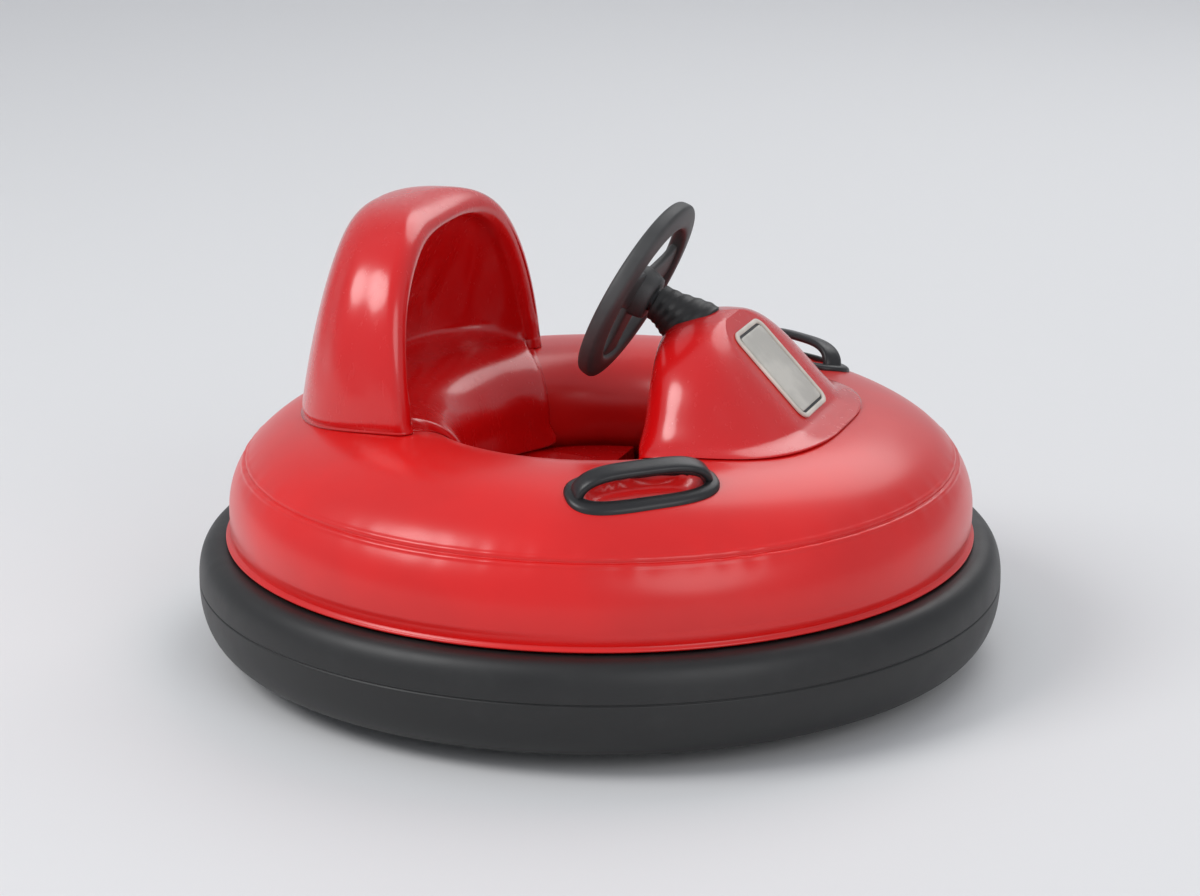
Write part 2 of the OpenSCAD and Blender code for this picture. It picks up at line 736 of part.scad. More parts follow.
// Foot pedal beside the drive wheel's housing, on a hinge block
pedal_l = 64;
pedal_w = 44;
pedal_t = 6;
pedal_tilt = 28;
pedal_block = [16, 36, 10];
pedal_y = -(well_r + dome_wall + pedal_w / 2 + 10);
pedal_x = drive_x - 40;
module pedal() {
    color(black) translate([pedal_x, pedal_y, tub_floor_z]) union() {
        translate([-pedal_block[0] / 2, -pedal_block[1] / 2, 0]) cube(pedal_block);
        translate([0, -pedal_w / 2, pedal_block[2] - 2]) rotate([0, -pedal_tilt, 0]) cube([pedal_l, pedal_w, pedal_t]);
    }
}

// Rocker switch on the front of the seat base
switch_y = 44;
switch_z = seat_z - 32;
switch_w = 24;
switch_h = 32;
switch_plate = 3;
switch_rocker = 4;
module power_switch() {
    color(black) translate([-seat_front, switch_y, switch_z]) union() {
        translate([0, -switch_w / 2, -switch_h / 2]) cube([switch_plate, switch_w, switch_h]);
        translate([switch_plate - 1, -switch_w / 3, -switch_h / 3]) rotate([0, 4, 0])
            cube([switch_rocker, switch_w * 2 / 3, switch_h * 2 / 3]);
    }
}

// Charging socket: a round plug in the cowl with a bore for a barrel plug
module charge_socket() {
    color(black) on_socket() difference() {
        translate([0, 0, -socket_back]) cylinder(d = socket_d, h = socket_back + socket_proud);
        translate([0, 0, socket_proud - socket_depth]) cylinder(d = socket_bore, h = socket_depth + 1);
    }
}

// Filling valve in the ring's skin, at the rear left
valve_at = 132;
valve_r = ring_crest_r + 74;
valve_d = 22;
valve_cap_d = 14;
module air_valve() {
    color(red) rotate([0, 0, valve_at]) translate([valve_r, 0, ring_top(valve_r)]) rotate([0, ring_lean(valve_r), 0])
        translate([0, 0, fit]) union() {
            cylinder(d = valve_d, h = 3);
            cylinder(d = valve_cap_d, h = 6);
        }
}

// Drive unit: fork on its spindle, gearbox side, motor, wheel
bearing_rise = 24;
spindle_rise = 30;
module spindle_bearing() {
    low = crown_z + crown_t + fit;
    color(steel) translate([drive_x, 0, 0]) difference() {
        union() {
            translate([0, 0, low]) cylinder(d = bearing_body_d - 2 * fit, h = dome_z + bearing_rise - low);
            translate([0, 0, dome_z]) cylinder(d = bearing_d, h = 6);
        }
        cylinder(d = spindle_d + 2 * run, h = wheel_z);
    }
}
leg_w = 32;
module drive_fork() {
    half = fork_half;
    color(steel) translate([drive_x, 0, 0]) difference() {
        union() {
            translate([-crown_l / 2, -half - leg_t, crown_z]) cube([crown_l, 2 * (half + leg_t), crown_t]);
            translate([0, 0, crown_z]) cylinder(d = spindle_d, h = dome_z + spindle_rise - crown_z);
            both_sides() {
                translate([-leg_w / 2, half, drive_d / 2]) cube([leg_w, leg_t, crown_z - drive_d / 2 + 1]);
                translate([0, half, drive_d / 2]) rotate([-90, 0, 0]) cylinder(d = leg_w, h = leg_t);
            }
        }
        translate([0, 0, drive_d / 2]) rotate([90, 0, 0]) cylinder(d = axle_bore, h = 4 * (half + leg_t), center = true);
    }
}

// Gearbox and motor on the fork's left leg, over the axle's end
gearbox_low = 22;
motor_up = 14;
axle_in_box = 13;
module drive_motor() {
    color(grey) translate([drive_x, fork_half + leg_t, drive_d / 2]) difference() {
        union() {
            translate([-gearbox_l / 2, 0, -gearbox_low]) cube([gearbox_l, gearbox_w, gearbox_l]);
            translate([0, gearbox_w, motor_up]) rotate([-90, 0, 0]) cylinder(d = motor_d, h = motor_l);
        }
        translate([0, -1, 0]) rotate([-90, 0, 0]) cylinder(d = axle_bore, h = axle_in_box + 2);
    }
}
drive_head = 4;
module drive_axle() {
    half = fork_half;
    color(steel) translate([drive_x, -half - leg_t - drive_head, drive_d / 2]) rotate([-90, 0, 0]) union() {
        cylinder(d = axle_d, h = 2 * (half + leg_t) + drive_head + axle_in_box);
        cylinder(d = axle_d + 7, h = drive_head - fit);
    }
}

// A wheel about the Y axis: hub with a dished web, and a rounded tyre round it
hub_share = 0.66;
hub_ring = 5;
boss_d = axle_d + 14;
module hub(d, w, boss) {
    seat = d * hub_share;
    rotate([90, 0, 0]) difference() {
        union() {
            cylinder(d = seat, h = w, center = true);
            cylinder(d = boss_d, h = boss, center = true);
        }
        for (s = [-1, 1]) translate([0, 0, s * w / 2]) difference() {
            cylinder(d = seat - 2 * hub_ring, h = 0.6 * w, center = true);
            cylinder(d = boss_d, h = w, center = true);
        }
        cylinder(d = axle_bore + 2 * run, h = 2 * boss, center = true);
    }
}
tyre_round = 6;
module tyre(d, w) {
    seat = d * hub_share;
    flat = w - 2 * tyre_round;
    rotate([90, 0, 0]) rotate_extrude() union() {
        translate([seat / 2, -w / 2]) square([(d - seat) / 2 - tyre_round, w]);
        translate([seat / 2, -flat / 2]) square([(d - seat) / 2, flat]);
        for (s = [-1, 1]) translate([d / 2 - tyre_round, s * flat / 2]) circle(tyre_round, $fn = 32);
    }
}

module drive_hub() {
    color(hub_grey) translate([drive_x, 0, drive_d / 2]) hub(drive_d, drive_w, drive_w + 2 * leg_gap - 2 * fit);
}
module drive_tyre() {
    color(rubber) translate([drive_x, 0, drive_d / 2]) tyre(drive_d, drive_w);
}
module rear_hub_left() {
    color(hub_grey) translate([-rear_x, rear_y, rear_d / 2]) hub(rear_d, rear_w, pocket_w - 2 * fit);
}
module rear_tyre_left() {
    color(rubber) translate([-rear_x, rear_y, rear_d / 2]) tyre(rear_d, rear_w);
}
module rear_hub_right() {
    mirror([0, 1, 0]) rear_hub_left();
}
module rear_tyre_right() {
    mirror([0, 1, 0]) rear_tyre_left();
}
module rear_axle_left() {
    span = pocket_w + 2 * shell_t;
    color(steel) translate([-rear_x, rear_y, rear_d / 2]) rotate([-90, 0, 0]) union() {
        cylinder(d = axle_d, h = span + 2 * axle_head, center = true);
        for (s = [-1, 1]) translate([0, 0, s * (span / 2 + axle_head / 2)])
            cylinder(d = axle_head_d, h = axle_head - 2 * fit, center = true);
    }
}
module rear_axle_right() {
    mirror([0, 1, 0]) rear_axle_left();
}

chassis_pan();
pan_rim();
bumper_ring();
cockpit_tub();
tub_floor();
ring_deck();
wheel_dome();
body_ring();
air_valve();
seat_base();
seat_back();
console();
console_base();
panel_frame();
panel_plate();
column_collar();
handle_left();
handle_right();
battery();
pedal();
power_switch();
charge_socket();
spindle_bearing();
rear_axle_left();
rear_axle_right();
drive_fork();
drive_motor();
drive_axle();
drive_hub();
drive_tyre();
rear_hub_left();
rear_tyre_left();
rear_hub_right();
rear_tyre_right();
steering_wheel();
steering_column();
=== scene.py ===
"""Looks of a children's battery bumper car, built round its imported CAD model."""

import math

import bmesh
import bpy
import numpy as np
from bpy.props import FloatProperty, FloatVectorProperty, PointerProperty
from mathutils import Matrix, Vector


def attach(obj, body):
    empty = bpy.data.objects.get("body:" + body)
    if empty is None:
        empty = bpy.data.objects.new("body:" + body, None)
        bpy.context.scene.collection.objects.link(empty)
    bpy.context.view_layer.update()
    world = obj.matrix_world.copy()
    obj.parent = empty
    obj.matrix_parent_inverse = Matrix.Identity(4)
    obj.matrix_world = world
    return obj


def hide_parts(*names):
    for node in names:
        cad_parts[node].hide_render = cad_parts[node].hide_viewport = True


bl_info = {
    "name": "Bumper Car Looks",
    "version": (1, 0, 0),
    "blender": (4, 5, 0),
    "location": "View3D > Sidebar > Bumper Car",
    "description": "Dresses the packed bumper car with detailed surfaces and finishes",
    "category": "Object",
}

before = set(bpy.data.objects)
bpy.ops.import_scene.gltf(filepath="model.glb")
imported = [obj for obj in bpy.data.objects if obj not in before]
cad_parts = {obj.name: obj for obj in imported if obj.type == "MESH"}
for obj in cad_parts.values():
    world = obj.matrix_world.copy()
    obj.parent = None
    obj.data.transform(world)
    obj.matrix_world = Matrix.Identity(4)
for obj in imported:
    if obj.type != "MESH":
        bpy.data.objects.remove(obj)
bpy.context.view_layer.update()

# Every length below is in metres, in the CAD's own frame

# The inflated ring: radii of its lip, side, crest and hole
LIP_R, SIDE_R, CREST_R, INNER_R = 0.362, 0.359, 0.222, 0.144
# Heights of its deck, its widest circle, its narrowest one, its crest and its seam
DECK_Z, SIDE_Z, NARROW_Z, CREST_Z, SEAM_Z = 0.112, 0.141, 0.176, 0.238, 0.189
# Squareness of its section outside and inside the crest
SIDE_N, INNER_N = 2.1, 2.5

# Finishes by key, made by the first operator
FINISH = {}
# For a grid that wraps in both directions
BOTH = {"wrap_u": True, "wrap_v": True}


def signed_power(a, n):
    """a to the power n, with a's own sign kept."""
    return np.sign(a) * np.abs(a) ** n


def smooth(s):
    """0 below 0, 1 above 1, and 3 s squared less 2 s cubed in between."""
    s = np.clip(s, 0, 1)
    return s * s * (3.0 - 2.0 * s)


def share(value, start, end):
    """How far a value is from start to end: 0 at start and before it, 1 at end and beyond."""
    return np.clip((value - start) / (end - start), 0, 1)


def bell(distance, width):
    """1 at no distance, falling off as the square of distance over width in an exponential."""
    return np.exp(-((distance / width) ** 2))


def points(*coordinates):
    """Points of coordinates that broadcast together."""
    return np.stack(np.broadcast_arrays(*coordinates), axis=-1)


def bow(centre, a, b, n, angles):
    """Points of a superellipse: centre plus the half axes a and b times cosine and sine of each
    angle in degrees, both to the power 2 / n. n may be a pair, one for each axis."""
    t = np.radians(np.asarray(angles, float))
    n_across, n_up = np.broadcast_to(n, 2)
    across = centre[0] + a * signed_power(np.cos(t), 2.0 / n_across)
    up = centre[1] + b * signed_power(np.sin(t), 2.0 / n_up)
    return points(across, up)


def closed_bow(centre, a, b, n, count):
    """A whole superellipse of that many points."""
    return bow(centre, a, b, n, np.linspace(0, 360, count, endpoint=False))


def round_angles(count):
    """Angles of a full turn as a column, for a grid that wraps in u."""
    return np.linspace(0, 2 * np.pi, count, endpoint=False)[:, None]


def ring_top(r):
    """Height of the ring's skin at a radius outside its crest: its outer quarter superellipse."""
    s = share(r, CREST_R, SIDE_R)
    return SIDE_Z + (CREST_Z - SIDE_Z) * (1.0 - s**SIDE_N) ** (1.0 / SIDE_N)


def polar(r, a, z):
    """Points at radii and angles round the Z axis, and at heights."""
    return points(r * np.cos(a), r * np.sin(a), z)


def turned(profile, count):
    """A profile of (radius, height) points turned round the Z axis, as a grid that wraps in u."""
    return polar(profile[None, :, 0], round_angles(count), profile[None, :, 1])


def spin(angle):
    """The matrix that turns flat points, given as rows, by an angle."""
    c, s = math.cos(angle), math.sin(angle)
    return np.array([[c, s], [-s, c]])


def placed(grid, origin, axes):
    """A grid moved from a local frame: its origin plus each coordinate along its axis."""
    return origin + grid @ axes


def loop_steps(path):
    """At each point of a closed flat path, the step from the point before to the one after."""
    return np.roll(path, -1, axis=0) - np.roll(path, 1, axis=0)


def right_of(step):
    """Unit vectors a quarter turn to the right of flat steps."""
    return points(step[:, 1], -step[:, 0]) / np.linalg.norm(step, axis=-1, keepdims=True)


def drawn_in(grid):
    """The grid with a row added at each end of u where every point is that end's middle, so that
    both ends close."""
    ends = [np.broadcast_to(row.mean(0), row.shape)[None] for row in (grid[0], grid[-1])]
    return np.concatenate([ends[0], grid, ends[1]])


def mirrored(grid):
    """The same grid on the other side of the car."""
    return grid * [1.0, -1.0, 1.0]


def surface(name, grid, finish, wrap_u=False, wrap_v=False):
    """A mesh through a grid of points over (u, v), each cell one face. A direction that wraps
    joins its last row to its first, points at one place are merged, and faces turn outwards."""
    n, m = grid.shape[:2]
    cells = np.arange(n if wrap_u else n - 1), np.arange(m if wrap_v else m - 1)
    i, j = np.meshgrid(*cells, indexing="ij")
    i2, j2 = (i + 1) % n, (j + 1) % m
    faces = np.stack([i * m + j, i2 * m + j, i2 * m + j2, i * m + j2], axis=-1).reshape(-1, 4)
    mesh = bpy.data.meshes.new(name)
    mesh.from_pydata(grid.reshape(-1, 3).tolist(), [], faces.tolist())
    work = bmesh.new()
    work.from_mesh(mesh)
    bmesh.ops.remove_doubles(work, verts=work.verts, dist=2e-6)
    bmesh.ops.recalc_face_normals(work, faces=work.faces)
    work.to_mesh(mesh)
    work.free()
    mesh.shade_smooth()
    obj = bpy.data.objects.new(name, mesh)
    bpy.context.scene.collection.objects.link(obj)
    obj.data.materials.append(finish.material)
    return obj


def piece(name, grid, finish, body, nodes=(), slot=None, **wrap):
    """A surface that rides on a body, and stands for nodes if named. The slot argument is not used.
    """
    obj = surface(name, grid, FINISH[finish], **wrap)
    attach(obj, body)
    if nodes:
        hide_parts(*nodes)
    return obj


class Tone:
    """A shader socket that can be added, subtracted and multiplied like a number."""

    def __init__(self, tree, socket):
        self.tree = tree
        self.socket = socket

    def node(self, kind, inputs, out=0, **settings):
        """A new node of that kind in the same tree, as the Tone of one of its outputs."""
        made = self.tree.nodes.new(kind)
        for key, value in settings.items():
            setattr(made, key, value)
        for key, value in inputs.items():
            if isinstance(value, Tone):
                self.tree.links.new(value.socket, made.inputs[key])
            else:
                made.inputs[key].default_value = value
        return Tone(self.tree, made.outputs[out])

    def math(self, operation, first, second):
        return self.node("ShaderNodeMath", {0: first, 1: second}, operation=operation)

    def __add__(self, other):
        return self.math("ADD", self, other)

    def __sub__(self, other):
        return self.math("SUBTRACT", self, other)

    def __rsub__(self, other):
        return self.math("SUBTRACT", other, self)

    def __mul__(self, other):
        return self.math("MULTIPLY", self, other)

    __radd__ = __add__
    __rmul__ = __mul__

    def step(self, low, high):
        """0 below low, 1 above high, and smooth in between."""
        values = {0: self, 1: low, 2: high}
        return self.node("ShaderNodeMapRange", values, interpolation_type="SMOOTHSTEP")


class Finish:
    """A material whose base colour, roughness and bump are put together from Tones."""

    def __init__(self, name, colour, roughness, metallic=0.0, coat=0.0, coat_roughness=0.05):
        self.material = bpy.data.materials.new(name)
        self.material.use_nodes = True
        self.tree = self.material.node_tree
        self.shader = next(n for n in self.tree.nodes if n.type == "BSDF_PRINCIPLED")
        colour = tuple(colour)[:3] + (1.0,)
        self.put("Base Color", colour)
        self.put("Roughness", roughness)
        self.put("Metallic", metallic)
        self.put("Coat Weight", coat)
        self.put("Coat Roughness", coat_roughness)
        self.put("IOR", 1.5)
        self.material.diffuse_color = colour
        self.place = Tone(self.tree, self.tree.nodes.new("ShaderNodeTexCoord").outputs["Object"])

    def put(self, name, value):
        socket = self.shader.inputs[name]
        if isinstance(value, Tone):
            self.tree.links.new(value.socket, socket)
        else:
            socket.default_value = value

    def noise(self, scale, detail=2.0, roughness=0.5, stretch=None):
        """Fractal noise from 0 to 1 with scale patches a metre, stretched by axis if wanted."""
        place = self.place
        if stretch:
            place = self.place.node("ShaderNodeMapping", {0: self.place, 3: stretch})
        values = {"Vector": place, "Scale": scale, "Detail": detail, "Roughness": roughness}
        return self.place.node("ShaderNodeTexNoise", values)

    def mix(self, factor, first, second):
        """From the first colour to the second as factor goes from 0 to 1."""
        values = {0: factor, 6: tuple(first)[:3] + (1.0,), 7: tuple(second)[:3] + (1.0,)}
        return self.place.node("ShaderNodeMix", values, out=2, data_type="RGBA")

    def bump(self, height, distance):
        """Raises the surface by height times distance, in metres."""
        values = {"Strength": 1.0, "Distance": distance, "Height": height}
        self.put("Normal", self.place.node("ShaderNodeBump", values))
        return self


def linear(colour):
    """A colour on the screen, each part 0 to 1, as the linear one that a shader takes."""
    return tuple(c / 12.92 if c <= 0.04045 else ((c + 0.055) / 1.055) ** 2.4 for c in colour)


def shade(colour, factor):
    """A colour made brighter or darker by a factor."""
    return tuple(min(1.0, c * factor) for c in colour)


def gloss_vinyl(name, red):
    """Inflated vinyl: saturated and satin, with a very slight orange peel and dusty patches."""
    red = linear(red)
    f = Finish(name, red, 0.3, coat=0.25, coat_roughness=0.22)
    cloud = f.noise(7.0, 3.0)
    f.put("Base Color", f.mix(cloud.step(0.35, 0.75), shade(red, 0.93), shade(red, 1.06)))
    f.put("Roughness", cloud * 0.08 + 0.27)
    return f.bump(f.noise(420.0, 2.0), 0.00004)


def gloss_moulding(name, red):
    """Moulded plastic with a soft gloss and fine scuffs."""
    red = linear(red)
    f = Finish(name, red, 0.26, coat=0.45, coat_roughness=0.14)
    scuff = f.noise(90.0, 4.0, 0.7, stretch=(1.0, 1.0, 0.35))
    f.put("Base Color", f.mix(f.noise(5.0).step(0.3, 0.7), shade(red, 0.95), shade(red, 1.03)))
    f.put("Roughness", scuff.step(0.5, 0.8) * 0.12 + 0.24)
    return f.bump(f.noise(60.0, 2.0), 0.00008)


def satin_rubber(name, grey, dust):
    """Black rubber with a dusty film that gathers where noise is high."""
    f = Finish(name, (grey, grey, grey * 1.03), 0.5)
    film = f.noise(24.0, 5.0, 0.62)
    f.put("Base Color", f.mix(film.step(0.45, 0.8) * dust, (grey,) * 3, (grey * 3.2,) * 3))
    f.put("Roughness", film * 0.22 + 0.36)
    return f.bump(f.noise(900.0, 2.0), 0.00006)


def grained_plastic(name, tint, roughness, grain=1400.0):
    """Moulded plastic with a fine leather-like grain."""
    f = Finish(name, tint, roughness)
    fine = f.noise(grain, 2.0, 0.6)
    f.put("Roughness", fine * 0.14 + (roughness - 0.05))
    f.put("Base Color", f.mix(f.noise(30.0, 3.0).step(0.4, 0.7), tint, shade(tint, 1.25)))
    return f.bump(fine, 0.00008)


def plated_steel(name):
    """Zinc plated steel with a faint crystalline mottling."""
    f = Finish(name, (0.52, 0.53, 0.55), 0.32, metallic=1.0)
    patch = f.noise(130.0, 3.0, 0.7)
    f.put("Base Color", f.mix(patch, (0.44, 0.45, 0.47), (0.6, 0.61, 0.63)))
    f.put("Roughness", patch * 0.2 + 0.24)
    return f.bump(patch, 0.00003)


def paint(node, finish):
    """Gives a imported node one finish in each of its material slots."""
    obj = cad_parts[node]
    if not obj.material_slots:
        obj.data.materials.append(finish.material)
    for slot in obj.material_slots:
        slot.material = finish.material


def length(name, description, default):
    """A property that is a length in metres."""
    return FloatProperty(name=name, description=description, unit="LENGTH", default=default)


class BumperCarLooks(bpy.types.PropertyGroup):
    skin_red: FloatVectorProperty(
        name="Skin red", description="Colour of the inflated ring",
        subtype="COLOR", default=(0.87, 0.07, 0.06),
    )
    shell_red: FloatVectorProperty(
        name="Shell red", description="Colour of the seat and the console",
        subtype="COLOR", default=(0.84, 0.05, 0.06),
    )
    seam_depth: length("Seam depth", "How deep the ring's welded seam lies in its skin", 0.0016)
    pucker_depth: length("Pucker depth", "Depth of the small folds that the seam draws", 0.0011)
    pocket_depth: length("Pocket depth", "Depth of the ring's hollow under each grip", 0.011)
    rim_width: length("Rim width", "Width of the steering wheel's rim across its face", 0.0255)
    grip_width: length("Grip width", "Width of the flat bar of each grab handle", 0.021)
    tread_depth: length("Tread depth", "Depth of the grooves in the tyres", 0.0016)
    floor_tone: FloatProperty(
        name="Floor tone", description="Brightness of the floor",
        default=0.78, min=0.2, max=1.0,
    )
    camera_place: FloatVectorProperty(
        name="Camera place", description="Where the camera stands",
        subtype="XYZ", unit="LENGTH", default=(1.0558, -2.9013, 1.1188),
    )
    camera_aim: FloatVectorProperty(
        name="Camera aim", description="Point that the camera looks at",
        subtype="XYZ", unit="LENGTH", default=(0.0, 0.0, 0.19),
    )
    lens: FloatProperty(
        name="Lens", description="Focal length of the camera in millimetres",
        default=100.0, min=20.0, max=200.0,
    )


def skin_frame(r, at, lean, turn):
    """Origin and axes of a place on the ring's skin, at a radius and at degrees from straight
    ahead. The third axis is upright but for the outward lean, and the first is turned from the
    slope towards the left."""
    at, lean, turn = np.radians([at, lean, turn])
    out = np.array([np.cos(at), np.sin(at), 0.0])
    along = np.array([-np.sin(at), np.cos(at), 0.0])
    up = np.array([0.0, 0.0, 1.0])
    slope = np.cos(lean) * out - np.sin(lean) * up
    axes = np.stack([
        np.cos(turn) * slope + np.sin(turn) * along,
        -np.sin(turn) * slope + np.cos(turn) * along,
        np.sin(lean) * out + np.cos(lean) * up,
    ])
    return r * out + ring_top(r) * up, axes


# The left grab handle's place on the skin: its radius, angle, lean and the turn of its length
HANDLE_PLACE = (0.267, 62.0, 16.0, 81.0)
# The seam's groove and the bead on each side of it: half widths, and the bead's place and height
GROOVE, BEAD, BEAD_AT, BEAD_HEIGHT = 0.0011, 0.0016, 0.0034, 0.0006
# Reach of the seam's folds, and the angle where they are deepest
FOLD_REACH, FOLD_SIDE = 0.011, -0.85
# Half axes and squareness of the hollow under a grip
POCKET_HALVES, POCKET_N = np.array([0.056, 0.021]), 2.6


def ring_profile():
    """The ring's section as (radius, height) points: out along its flat underside, round the
    welded lip, up the side and over the crest as a superellipse, and down inside as two more.
    The points lie closer together at the side seam."""
    under = np.linspace([CREST_R, DECK_Z], [LIP_R - 0.0006, DECK_Z], 14)
    lip = np.array([[0.0, 0.6], [0.1, 1.4], [-0.5, 2.6]]) * 0.001 + [LIP_R, DECK_Z]
    rise = SIDE_Z - DECK_Z - 0.003
    wall = bow((LIP_R - 0.006, SIDE_Z), 0.003, rise, 2.0, np.linspace(-78, -8, 12))
    at_seam, above_seam = np.linspace(24.4, 32.8, 29), np.linspace(33.6, 90, 40)
    angles = np.concatenate([np.linspace(0, 24, 14), at_seam, above_seam])
    side = bow((CREST_R, SIDE_Z), SIDE_R - CREST_R, CREST_Z - SIDE_Z, SIDE_N, angles)
    middle, reach = (CREST_R, NARROW_Z), CREST_R - INNER_R
    inner = bow(middle, reach, CREST_Z - NARROW_Z, INNER_N, np.linspace(93, 180, 36))
    low = bow(middle, reach, NARROW_Z - DECK_Z, 2.0, np.linspace(186, 266, 15))
    return np.concatenate([under, lip, wall, side, inner, low])


class BUMPERCAR_OT_ring(bpy.types.Operator):
    """Builds the inflated ring: its skin turned round the axis, drawn in along the welded side
    seam with small folds beside it, and hollowed under the two grab handles"""

    bl_idname = "bumper_car.ring"
    bl_label = "Inflated ring"

    def seam(self, looks, around, past):
        """Depth of the seam at a distance past it: a bell for the groove, less one for each bead,
        plus a wide one for the folds, which two sets of sine waves round the ring vary."""
        ripple = np.sin(61 * around + 1.7 * np.sin(7 * around))
        ripple = ripple + 0.6 * np.sin(97 * around + 2.0 * np.sin(5 * around + 1))
        strength = 0.35 + 0.65 * smooth((np.cos(around - FOLD_SIDE) - 0.55) / 0.4)
        folds = looks.pucker_depth * strength * (0.4 + 0.35 * ripple) * bell(past, FOLD_REACH)
        beads = BEAD_HEIGHT * bell(np.abs(past) - BEAD_AT, BEAD)
        return looks.seam_depth * bell(past, GROOVE) - beads + folds

    def pocketed(self, grid, depth, top):
        """The grid let in along each handle's normal, by depth times a smooth step of 1 less the
        superellipse sum of a point's place in the handle's frame."""
        origin, axes = skin_frame(*HANDLE_PLACE)
        for side in (1.0, -1.0):
            flip = [1.0, side, 1.0]
            local = np.abs((grid * flip - origin) @ axes.T)[..., :2]
            inside = 1.0 - ((local / POCKET_HALVES) ** POCKET_N).sum(-1)
            dent = depth * smooth(inside / 0.55) * top
            grid = grid - dent[..., None] * (axes[2] * flip)
        return grid

    def execute(self, context):
        looks = context.scene.bumper_car
        profile = ring_profile()
        grid, around = turned(profile, 448), round_angles(448)
        normal = right_of(loop_steps(profile))
        r, h = profile[None, :, 0], profile[None, :, 1]
        outside = r > CREST_R
        past = np.where(outside & (h > SIDE_Z), h - SEAM_Z, 1.0) * 1.06
        swell = 0.0009 * np.sin(3 * around + 0.6) * smooth((r - 0.30) / 0.03) * (h > 0.125)
        push = swell - self.seam(looks, around, past)
        grid = grid + polar(push * normal[None, :, 0], around, push * normal[None, :, 1])
        grid = self.pocketed(grid, looks.pocket_depth, outside & (h > SEAM_Z + 0.01))
        ring = piece("inflated_ring", grid, "skin", "chassis", ("body_ring",), "ring_skin", **BOTH)
        return {"FINISHED"}


# The bumper's radius and middle, and its parting line's height, depth and half width
BUMPER_R, BUMPER_MID_Z, PARTING_Z, PARTING_DEPTH, PARTING_HALF = 0.389, 0.072, 0.073, 0.0012, 0.0008
# Corners of the slot for the pan's rail, and of the bumper's upper edge
RAIL_SLOT = [
    [0.3463, 0.0703], [0.3523, 0.0703], [0.3523, 0.0637], [0.3463, 0.0637], [0.3463, 0.0235],
]
BUMPER_EDGE = [[0.347, 0.1096], [0.3463, 0.1088]]


class BUMPERCAR_OT_bumper(bpy.types.Operator):
    """Builds the rubber bumper: a superellipse section with a fine parting groove, turned round
    the axis, with the slot that the pan's rail sits in"""

    bl_idname = "bumper_car.bumper"
    bl_label = "Rubber bumper"

    def execute(self, context):
        low = bow((0.356, BUMPER_MID_Z), 0.033, 0.055, 2.3, np.linspace(-90, -1, 30))
        mid = np.linspace([BUMPER_R, 0.0712], [BUMPER_R, 0.0748], 15)
        mid[:, 0] -= PARTING_DEPTH * bell(mid[:, 1] - PARTING_Z, PARTING_HALF)
        high = bow((0.365, BUMPER_MID_Z), 0.024, 0.0376, 2.6, np.linspace(8, 90, 30))
        grid = turned(np.concatenate([RAIL_SLOT, low, mid, high, BUMPER_EDGE]), 320)
        piece("rubber_bumper", grid, "rubber", "chassis", ("bumper_ring",), "bumper_rubber", **BOTH)
        return {"FINISHED"}


# The seat: heights of its base line, hip and top, its half width and the thickness of its rim
SEAT_LOW, SEAT_HIP, SEAT_TOP, SEAT_HALF, SEAT_LIP = 0.230, 0.262, 0.427, 0.18, 0.026
# Its wings' front edges and its spine at the base line, and how far each leans by the top
WING_X, WING_LEAN, SPINE_X, SPINE_LEAN = -0.138, 0.026, -0.284, 0.046
# How far the top rounds off, the back's wall, the powers of its plan and of its arch
TOP_ROUND, SEAT_WALL, PLAN_POWER, ARCH_N = 0.022, 0.042, 0.8, 2.6
# Gap to the ring's skin, the liner over it, and the height where the seat ends inside the ring
LAY, LINER, SEAT_END_Z = 0.0008, 0.009, 0.150
# Depths of the flutes on the rider's side and of the channels in the wings
FLUTE, CHANNEL = 0.0014, 0.0016


def arch(s):
    """A superellipse's height from 1 at its middle to 0 at 1."""
    return (1.0 - np.clip(s, 0, 1) ** ARCH_N) ** (1 / ARCH_N)


def seat_rise(z):
    """Share of the way from the seat's base line to its top."""
    return share(z, SEAT_LOW, SEAT_TOP)


def seat_half_width(z, lip=0.0):
    """Half width of the seat's arch, or of the arch inside it by a lip."""
    return (SEAT_HALF - lip) * arch((z - SEAT_LOW) / (SEAT_TOP - lip - SEAT_LOW))


def seat_front(z):
    """Where the wings' front edges are: they lean back evenly, and roll back at the top."""
    return WING_X - WING_LEAN * seat_rise(z) ** 1.2 - TOP_ROUND * seat_rise(z) ** 24


def seat_depth(z):
    """From the wings' front edges back to the spine, drawn in at the rounded top."""
    back = SPINE_X + SPINE_LEAN * seat_rise(z) ** 1.1 + TOP_ROUND * seat_rise(z) ** 24
    return seat_front(z) - back - TOP_ROUND * seat_rise(z) ** 90


def seat_hollow(z):
    """How far the rider's side stands back from the wings' front edges: nothing at the inner
    arch's top, and most at the hip, as a power of a cosine."""
    quarter = np.pi / 2 * share(z, SEAT_HIP, SEAT_TOP - SEAT_LIP)
    return (seat_depth(z) - SEAT_WALL) * np.clip(np.cos(quarter), 0, 1) ** 0.7


